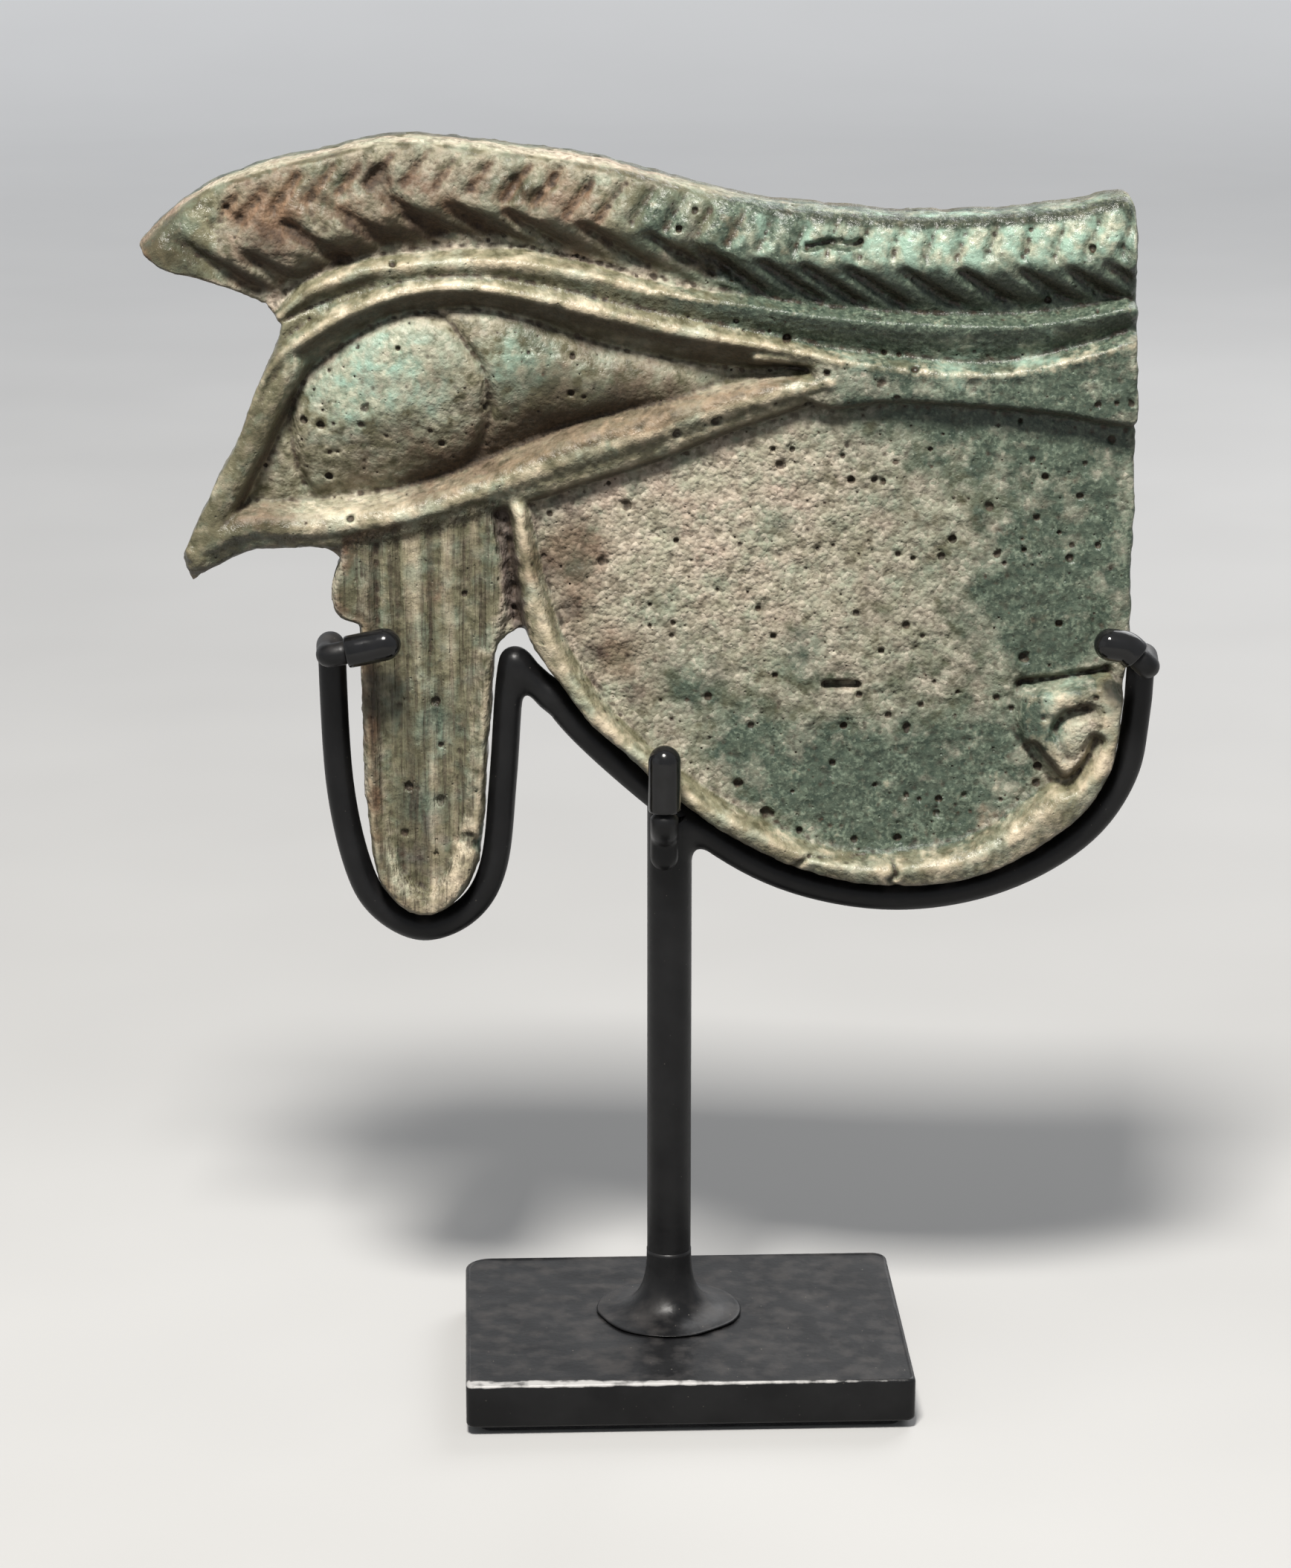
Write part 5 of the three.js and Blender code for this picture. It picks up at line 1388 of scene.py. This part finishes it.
def rounded_rectangle(width, depth, radii):
    """Outline, from the front right corner round; radii are those of the corners in that order"""
    points = []
    for k, (sx, sy) in enumerate(((1, -1), (1, 1), (-1, 1), (-1, -1))):
        centre = np.array([sx * (width / 2 - radii[k]), sy * (depth / 2 - radii[k])])
        for t in np.linspace(0, 1, CORNER_STEPS):
            angle = math.pi / 2 * (k - 1 + t)
            points.append(centre + radii[k] * np.array([math.cos(angle), math.sin(angle)]))
    corners = np.array([*points, points[0]])
    along = lengths_along(corners)
    extra = np.arange(0, along[-1], OUTLINE_STEP)
    return read_off(corners, along, np.unique(np.concatenate([along[:-1], extra]).round(4)))


def slab(outline, low, high, edge):
    """A plate with rounded edges, turned like the base: its rings run from the bottom to the top"""
    half = (np.ptp(outline, axis=0) / 2).max()
    turns = np.linspace(0, math.pi / 2, 6)
    inner = 1 - edge / half
    rings = [(share * inner, low) for share in np.linspace(0.1, 0.9, 9)]
    rings += [(1 - edge * (1 - math.sin(t)) / half, low + edge * (1 - math.cos(t))) for t in turns]
    rings += [(1 - edge * (1 - math.cos(t)) / half, high - edge * (1 - math.sin(t))) for t in turns]
    rings += [(share * inner, high) for share in np.linspace(1, 0.03, 40)]
    angle = math.radians(BASE_TURN_DEGREES)
    turn = np.array([[math.cos(angle), math.sin(angle)], [-math.sin(angle), math.cos(angle)]])
    loops = [np.column_stack([(outline * scale) @ turn, np.full(len(outline), z)]) for scale, z in rings]
    return capped(loops, [np.array([0, 0, low]), np.array([0, 0, high])])


def base_plate(paint):
    outline = rounded_rectangle(BASE_WIDTH, BASE_DEPTH, PLATE_CORNER_RADII)
    points, faces = slab(outline, FELT_THICKNESS, BASE_TOP, PLATE_EDGE)
    on_top = points[:, 2] > BASE_TOP - 0.01
    flat = points * (1, 1, 0)
    wave = 0.05 * speckle(flat, 7, 71) + 0.015 * speckle(flat, 2, 72)
    points[:, 2] -= np.clip(0.1 - wave, 0, 1) * on_top
    # painted highlight: pale bare metal along the top front edge, partly real wear
    front = soft(-points[:, 1], BASE_DEPTH / 2 - 1.6, BASE_DEPTH / 2 - 0.4)
    rim = soft(points[:, 2], BASE_TOP - 0.5, BASE_TOP - 0.2) * front
    skin = (points, faces)
    make_mesh("base_plate_slab", "base_plate", skin, paint, attributes={"rubbed_and_glint": rim})


def base_felt(felt):
    outline = rounded_rectangle(
        BASE_WIDTH - FELT_INSET * 2, BASE_DEPTH - FELT_INSET * 2, [FELT_CORNER_RADIUS] * 4
    )
    points, faces = slab(outline, 0, FELT_THICKNESS, FELT_EDGE)
    out = points[:, :2] / np.maximum(np.linalg.norm(points[:, :2], axis=1, keepdims=True), TINY)
    up = points[:, 2]
    side = soft(up, 0.05, 0.2) * (1 - soft(up, FELT_THICKNESS - 0.2, FELT_THICKNESS - 0.05))
    points[:, :2] += out * (0.06 * speckle(points, 0.7, 73) * side)[:, None]
    make_mesh("base_felt_pad", "base_felt", (points, faces), felt)


# Materials
class Nodes:
    """Short ways to add nodes to a tree"""

    def __init__(self, tree):
        self.tree = tree

    def node(self, kind, inputs, **settings):
        node = self.tree.nodes.new(kind)
        for key, value in settings.items():
            setattr(node, key, value)
        for key, value in inputs.items():
            self.put(node.inputs[key], value)
        return node

    def put(self, socket, value):
        if isinstance(value, bpy.types.NodeSocket):
            self.tree.links.new(value, socket)
        elif isinstance(value, tuple) and len(value) == 3 and len(socket.default_value) == 4:
            socket.default_value = (*value, 1)
        else:
            socket.default_value = value

    def math(self, operation, *values, clamp=False):
        inputs = dict(enumerate(values))
        return self.node("ShaderNodeMath", inputs, operation=operation, use_clamp=clamp).outputs[0]

    def chain(self, operation, values):
        total = values[0]
        for value in values[1:]:
            total = self.math(operation, total, value)
        return total

    def add(self, *values):
        return self.chain("ADD", values)

    def times(self, *values):
        return self.chain("MULTIPLY", values)

    def most(self, *values):
        return self.chain("MAXIMUM", values)

    def ramp(self, value, low, high, to_low=0.0, to_high=1.0):
        inputs = {0: value, 1: low, 2: high, 3: to_low, 4: to_high}
        return self.node("ShaderNodeMapRange", inputs, clamp=True).outputs[0]

    def looked_at(self):
        """1 for rays from the camera, in reflections and through glass, 0 for rays that carry light"""
        rays = self.node("ShaderNodeLightPath", {}).outputs
        return self.most(*(rays[f"Is {kind} Ray"] for kind in ("Camera", "Glossy", "Transmission")))


class Shader(Nodes):
    """Short ways to add nodes to a material"""

    def __init__(self, name):
        self.material = bpy.data.materials.new(name)
        self.material.use_nodes = True
        super().__init__(self.material.node_tree)
        self.bsdf = self.tree.nodes["Principled BSDF"]
        self.place = self.tree.nodes.new("ShaderNodeTexCoord").outputs["Object"]

    def mix(self, share, a, b, blend="MIX"):
        inputs = {0: share, 6: a, 7: b}
        return self.node("ShaderNodeMix", inputs, data_type="RGBA", blend_type=blend).outputs[2]

    def texture(self, kind, size, **inputs):
        """A texture with features of a size in millimetres"""
        return self.node(kind, {"Vector": self.place, "Scale": 1 / (size * MM), **inputs}).outputs

    def noise(self, size, detail, stretch=None):
        """Cloudy noise, centred on 0.5"""
        place = self.place
        if stretch:
            place = self.node("ShaderNodeMapping", {"Vector": place, "Scale": stretch}).outputs[0]
        return self.texture("ShaderNodeTexNoise", size, Vector=place, Detail=detail)["Fac"]

    def grains(self, size):
        """Distance to the middle of each grain, and a colour for each"""
        cells = self.texture("ShaderNodeTexVoronoi", size)
        return cells["Distance"], cells["Color"]

    def dots(self, size, radius):
        """Scattered round dots: 1 in the middle of each, 0 past its radius, both in millimetres"""
        return self.ramp(self.grains(size)[0], 0.0, radius / size, 1.0, 0.0)

    def sway(self, noise, amount):
        """A noise as an amount to either side of 0"""
        return self.times(self.add(noise, -0.5), amount)

    def attribute(self, name):
        return self.node("ShaderNodeAttribute", {}, attribute_name=name).outputs["Fac"]

    def bump(self, height, depth, strength, normal=None):
        """Bump whose height of 1 stands for a depth in millimetres"""
        inputs = {"Height": height, "Distance": depth * MM, "Strength": strength}
        if normal:
            inputs["Normal"] = normal
        return self.node("ShaderNodeBump", inputs).outputs[0]

    def done(self, **inputs):
        for key, value in inputs.items():
            self.put(self.bsdf.inputs[key.replace("_", " ")], value)
        return self.material


def patchy(s, amount, fine, broad, low, high):
    """A stain's amount broken up by two noises into patches with ragged edges"""
    return s.ramp(s.add(amount, s.sway(fine, 1.1), s.sway(broad, 1.1)), low, high)


MAP_NAMES = (
    "teal", "mint", "worn", "rust", "cream", "plum", "brown_and_shade", "soot", "streak", "drop", "lee",
    "cavity", "hollow",
)


def faience():
    """Worn green glaze over a pale sandy body, with dirt and painted shade in its hollows"""
    s = Shader("faience")
    tiny, fine, small = s.noise(0.15, 2.0), s.noise(0.35, 3.0), s.noise(1.1, 5.0)
    mid, broad = s.noise(2.1, 5.0), s.noise(4, 4.0)
    grit = s.ramp(s.noise(0.6, 3.0), 0.3, 0.7)
    grain_gap, grain_colour = s.grains(0.42)
    grain_tone = s.node("ShaderNodeSeparateColor", {0: grain_colour}).outputs[0]
    maps = {name: s.attribute(name) for name in MAP_NAMES}
    lines = s.noise(0.3, 3.0, (1, 1, 0.05))

    # The glaze: olive, teal where it is thick, and mint where it has weathered
    olive = s.mix(s.ramp(small, 0.35, 0.68), (0.085, 0.08, 0.045), (0.25, 0.235, 0.15))
    olive = s.mix(s.ramp(mid, 0.48, 0.66), olive, (0.16, 0.185, 0.13))
    deep = s.mix(grit, (0.034, 0.052, 0.038), (0.098, 0.125, 0.09))
    teal = s.mix(s.ramp(s.add(fine, s.times(mid, 0.5)), 0.75, 0.95), deep, (0.165, 0.205, 0.15))
    glaze = s.mix(patchy(s, maps["teal"], small, broad, 0.15, 0.75), olive, teal)
    mint = s.mix(grit, (0.17, 0.21, 0.15), (0.5, 0.5, 0.38))
    mint = s.mix(s.ramp(s.noise(1.6, 4.0), 0.42, 0.6), mint, (0.29, 0.41, 0.325))
    glaze = s.mix(patchy(s, maps["mint"], small, mid, 0.25, 0.8), glaze, mint)

    # The sandy body, bare where the glaze is worn, and its reddish, pale and dark patches
    sand = s.mix(s.ramp(broad, 0.35, 0.65), (0.35, 0.34, 0.25), (0.45, 0.365, 0.29))
    sand = s.mix(s.ramp(mid, 0.5, 0.68), sand, (0.29, 0.305, 0.225))
    sand = s.mix(s.ramp(maps["teal"], 0.05, 0.8, 0.0, 0.62), sand, (0.15, 0.195, 0.148))
    sand = s.mix(s.times(s.ramp(grain_tone, 0.6, 1.0), 0.45), sand, (0.66, 0.58, 0.47))
    sand = s.mix(s.times(s.ramp(grain_tone, 0.35, 0.0), 0.4), sand, (0.16, 0.125, 0.09))
    sand = s.mix(s.times(s.ramp(small, 0.46, 0.34), 0.5), sand, (0.14, 0.11, 0.078))
    ragged = s.times(s.sway(s.noise(2.8, 6.0), 2.6), s.ramp(maps["teal"], 0.1, 0.5))
    body = s.mix(patchy(s, s.add(maps["worn"], ragged), mid, small, 0.2, 0.85), glaze, sand)
    clay = s.mix(grit, (0.1, 0.055, 0.03), (0.33, 0.2, 0.12))
    body = s.mix(s.times(patchy(s, maps["rust"], small, broad, 0.35, 0.95), 0.8), body, clay)
    cream = s.mix(s.ramp(mid, 0.38, 0.62), (0.34, 0.295, 0.195), (0.72, 0.6, 0.44))
    cream = s.mix(s.times(s.ramp(s.noise(3.2, 4.0), 0.5, 0.64), 0.6), cream, (0.4, 0.47, 0.37))
    crest = s.times(maps["cream"], s.add(0.4, s.ramp(maps["hollow"], 0.02, -0.14)))
    body = s.mix(s.times(patchy(s, crest, s.noise(0.6, 5.0), mid, 0.25, 1.0), 0.8), body, cream)
    plum = s.mix(grit, (0.028, 0.019, 0.017), (0.16, 0.12, 0.108))
    body = s.mix(s.times(patchy(s, maps["plum"], small, mid, 0.35, 0.9), 0.85), body, plum)
    lined = s.times(maps["drop"], s.ramp(lines, 0.5, 0.36))
    body = s.mix(s.times(lined, 0.6), body, (0.05, 0.035, 0.024))
    # A brownish film; on the brow's upward top and bevel and at the eyeball's foot it is painted shade
    film_and_shade = patchy(s, maps["brown_and_shade"], small, broad, 0.2, 0.95)
    body = s.mix(s.times(film_and_shade, 0.9), body, (0.42, 0.35, 0.3), "MULTIPLY")

    # Dirt and painted shade: dirt in pits, dirt and painted shade in hollows and from the soot map, painted
    # shade on what faces down, and crumbs, streaks and freckles
    umber = s.mix(s.ramp(fine, 0.4, 0.7), (0.02, 0.013, 0.0085), (0.072, 0.049, 0.032))
    pit = s.ramp(s.add(maps["cavity"], s.sway(small, 0.05)), 0.008, 0.045)
    # partly dirt and partly painted shade in broad hollows
    low = s.ramp(s.add(maps["hollow"], s.sway(small, 0.2)), 0.08, 0.32)
    soot = patchy(s, maps["soot"], small, broad, 0.4, 1.0)
    # painted shade on what faces down
    under = s.ramp(s.add(maps["lee"], s.sway(small, 0.4)), 0.3, 0.85)
    dirt_and_shade = s.most(s.times(pit, 0.9), s.times(low, 0.6), s.times(soot, 0.8), s.times(under, 0.82))
    crumb = s.times(s.ramp(s.noise(0.9, 5.0), 0.58, 0.74), 0.45)
    body = s.mix(s.most(dirt_and_shade, crumb), body, umber)
    body = s.mix(s.ramp(maps["streak"], 0.15, 1.0, 0.0, 0.6), body, umber)
    body = s.mix(s.ramp(maps["streak"], -0.25, -1.2, 0.0, 0.5), body, cream)
    freckle = s.times(s.dots(1.4, 0.18), s.ramp(small, 0.46, 0.58))
    body = s.mix(s.times(freckle, 0.7), body, (0.1, 0.05, 0.03))

    rough = s.ramp(s.add(maps["worn"], s.times(dirt_and_shade, 0.6)), 0.1, 0.9, 0.3, 0.75)
    rough = s.add(rough, s.sway(fine, 0.25))
    gritty = s.math("MAXIMUM", maps["worn"], 0.15, clamp=True)
    bump = s.bump(tiny, 0.1, 0.4)
    for height, depth, strength in (
        (fine, 0.18, 0.5),
        (small, 0.3, 0.45),
        (s.times(s.ramp(lines, 0.3, 0.6), maps["drop"]), 0.16, 0.8),
        (s.times(grain_gap, gritty), -0.16, 0.8),
        (s.times(s.grains(0.95)[0], gritty), -0.22, 0.5),
        (s.times(s.dots(1.1, 0.14), -1.0), 0.14, 0.7),
    ):
        bump = s.bump(height, depth, strength, bump)
    return s.done(Base_Color=body, Roughness=rough, Normal=bump, Specular_IOR_Level=0.32)


def upward(s):
    """How far the surface faces up"""
    normal = s.node("ShaderNodeNewGeometry", {}).outputs["Normal"]
    return s.node("ShaderNodeSeparateXYZ", {0: normal}).outputs["Z"]


def black_paint(name, shine, rubbed_and_glint=False):
    """Satin black paint with fine dust on what faces up, and pale bare metal on a rubbed edge, partly a
    painted highlight
    """
    s = Shader(name)
    small, broad = s.noise(0.5, 3.0), s.noise(5, 3.0)
    black = s.mix(s.ramp(broad, 0.35, 0.65), (0.004, 0.004, 0.0045), (0.01, 0.01, 0.0105))
    settled = s.ramp(upward(s), 0.2, 0.95)
    haze = s.times(settled, s.ramp(s.noise(2.2, 5.0), 0.45, 0.75), 0.3)
    black = s.mix(haze, black, (0.11, 0.1, 0.095))
    specks = s.times(s.dots(0.8, 0.07), s.ramp(small, 0.5, 0.62), s.add(0.3, s.times(settled, 0.7)))
    black = s.mix(specks, black, (0.4, 0.36, 0.31))
    rough = s.add(shine, s.sway(broad, 0.2), s.sway(small, 0.12), s.times(specks, 0.4), s.times(haze, 0.5))
    if rubbed_and_glint:
        bare = s.ramp(s.add(s.attribute("rubbed_and_glint"), s.sway(s.noise(1.5, 4.0), 0.9)), 0.75, 1.0)
        black = s.mix(bare, black, (0.42, 0.41, 0.4))
        rough = s.ramp(bare, 0.0, 1.0, rough, 0.3)
    bump = s.bump(broad, 0.25, 0.35, s.bump(small, 0.04, 0.45))
    return s.done(Base_Color=black, Roughness=rough, Normal=bump, Specular_IOR_Level=0.22)


def black_sleeve():
    """Glossy black tubing, faintly uneven"""
    s = Shader("sleeve_gloss")
    broad = s.noise(1.8, 2.0)
    black = s.mix(s.ramp(broad, 0.3, 0.7), (0.004, 0.004, 0.004), (0.008, 0.008, 0.009))
    specks = s.times(s.dots(1.3, 0.05), s.ramp(s.noise(0.6, 2.0), 0.52, 0.6))
    black = s.mix(specks, black, (0.4, 0.38, 0.35))
    rough = s.add(0.1, s.times(s.ramp(s.noise(0.8, 4.0), 0.4, 0.7), 0.1))
    bump = s.bump(broad, 0.15, 0.3)
    return s.done(Base_Color=black, Roughness=rough, Normal=bump, Specular_IOR_Level=0.35)


def black_felt():
    """Pressed black felt with short fibres"""
    s = Shader("felt")
    fibre = s.noise(0.12, 6.0, (1, 1, 2.5))
    black = s.mix(s.ramp(fibre, 0.35, 0.7), (0.006, 0.006, 0.007), (0.035, 0.034, 0.036))
    black = s.mix(s.times(s.ramp(s.noise(0.9, 4.0), 0.6, 0.8), 0.4), black, (0.07, 0.068, 0.066))
    bump = s.bump(fibre, 0.15, 0.9)
    return s.done(Base_Color=black, Roughness=0.95, Normal=bump, Sheen_Weight=0.3)


def pale_ground():
    """Pale to look at and in reflections, and darker where it would light the amulet from below"""
    s = Shader("pale_ground")
    looked_at = s.looked_at()
    tone = s.mix(s.ramp(s.noise(60, 2.0), 0.3, 0.7), (0.43, 0.428, 0.424), (0.46, 0.458, 0.454))
    tone = s.mix(looked_at, (0.06, 0.059, 0.058), tone)
    x, y = s.node("ShaderNodeSeparateXYZ", {0: s.place}).outputs[:2]
    away = s.math("SQRT", s.add(s.times(x, x), s.times(y, y)))
    glow = s.times(looked_at, s.ramp(away, 0.15, 1.2, 0.0, 0.5))
    bump = s.bump(s.noise(0.8, 3.0), 0.05, 0.2)
    lit = {"Emission_Color": (0.95, 0.97, 1), "Emission_Strength": glow}
    return s.done(Base_Color=tone, Roughness=0.9, Normal=bump, **lit)


# Stage, lamps and camera
GROUND_HALF_WIDTH = 2200
GROUND_FRONT = -1500
GROUND_BACK = 900
BACKDROP_RADIUS = 500
BACKDROP_HEIGHT = 1800
BACKDROP_STEPS = 24


def ground():
    """Pale floor that curves up into a backdrop"""
    profile = [(GROUND_FRONT, 0), (0, 0)]
    for angle in np.linspace(0, math.pi / 2, BACKDROP_STEPS):
        back, up = BACKDROP_RADIUS * math.sin(angle), BACKDROP_RADIUS * (1 - math.cos(angle))
        profile.append((GROUND_BACK + back, up))
    profile.append((GROUND_BACK + BACKDROP_RADIUS, BACKDROP_HEIGHT))
    points = [(x * MM, y * MM, z * MM) for y, z in profile for x in (-GROUND_HALF_WIDTH, GROUND_HALF_WIDTH)]
    faces = [(2 * i, 2 * i + 1, 2 * i + 3, 2 * i + 2) for i in range(len(profile) - 1)]
    mesh = bpy.data.meshes.new("ground")
    mesh.from_pydata(points, [], faces)
    in_scene("ground", smooth_mesh(mesh, pale_ground()))


VIEW_TARGET = (-3.66, 0, 58.6)
VIEW_DISTANCE = 406
VIEW_ELEVATION_DEGREES = 16
LENS = 100
CLIP_METRES = (0.01, 20)


def camera():
    data = bpy.data.cameras.new("camera")
    data.lens = LENS
    data.clip_start, data.clip_end = CLIP_METRES
    piece = in_scene("camera", data)
    angle = math.radians(VIEW_ELEVATION_DEGREES)
    back = Vector((0, -math.cos(angle), math.sin(angle)))
    piece.location = (Vector(VIEW_TARGET) + back * VIEW_DISTANCE) * MM
    piece.rotation_euler = (math.pi / 2 - angle, 0, 0)
    bpy.context.scene.camera = piece


# Lamps: place and size in millimetres, power in watts and colour. The sky lights less than it shows.
LAMPS = [
    ("key", (-60, -320, 590), 120, 7, (1, 0.97, 0.92)),
    ("fill_left", (-600, -350, 200), 500, 0.18, (1, 1, 1)),
    ("back", (250, 420, 420), 350, 1.6, (1, 1, 1)),
]
LAMP_TARGET = (0, 0, 75)
SKY_COLOUR = (0.93, 0.96, 1)
SKY_LIGHT = 0.3125
SKY_LOOK = 0.6


def lamp(name, place_mm, size, power, colour):
    """Square soft box that faces the amulet"""
    data = bpy.data.lights.new(name, "AREA")
    data.size = size * MM
    data.energy = power
    data.color = colour
    piece = in_scene(name, data)
    piece.location = Vector(place_mm) * MM
    aim = Vector(LAMP_TARGET) * MM - piece.location
    piece.rotation_euler = aim.to_track_quat("-Z", "Y").to_euler()


def lights():
    for row in LAMPS:
        lamp(*row)
    world = bpy.data.worlds.new("studio")
    world.use_nodes = True
    background = world.node_tree.nodes["Background"]
    n = Nodes(world.node_tree)
    n.put(background.inputs["Color"], SKY_COLOUR)
    n.put(background.inputs["Strength"], n.ramp(n.looked_at(), 0.0, 1.0, SKY_LIGHT, SKY_LOOK))
    bpy.context.scene.world = world
    bpy.context.scene.view_settings.view_transform = "Standard"


# Assembly
camera()
ground()
lights()
paint = black_paint("paint_satin", 0.4)
filler = black_paint("paint_filler", 0.36)
amulet()
base_plate(black_paint("paint_plate", 0.36, rubbed_and_glint=True))
base_felt(black_felt())
stem(paint)
stem_foot(filler)
left_wire(paint)
right_wire(paint)
centre_prong(paint)
sleeves(black_sleeve())
brazes(filler)
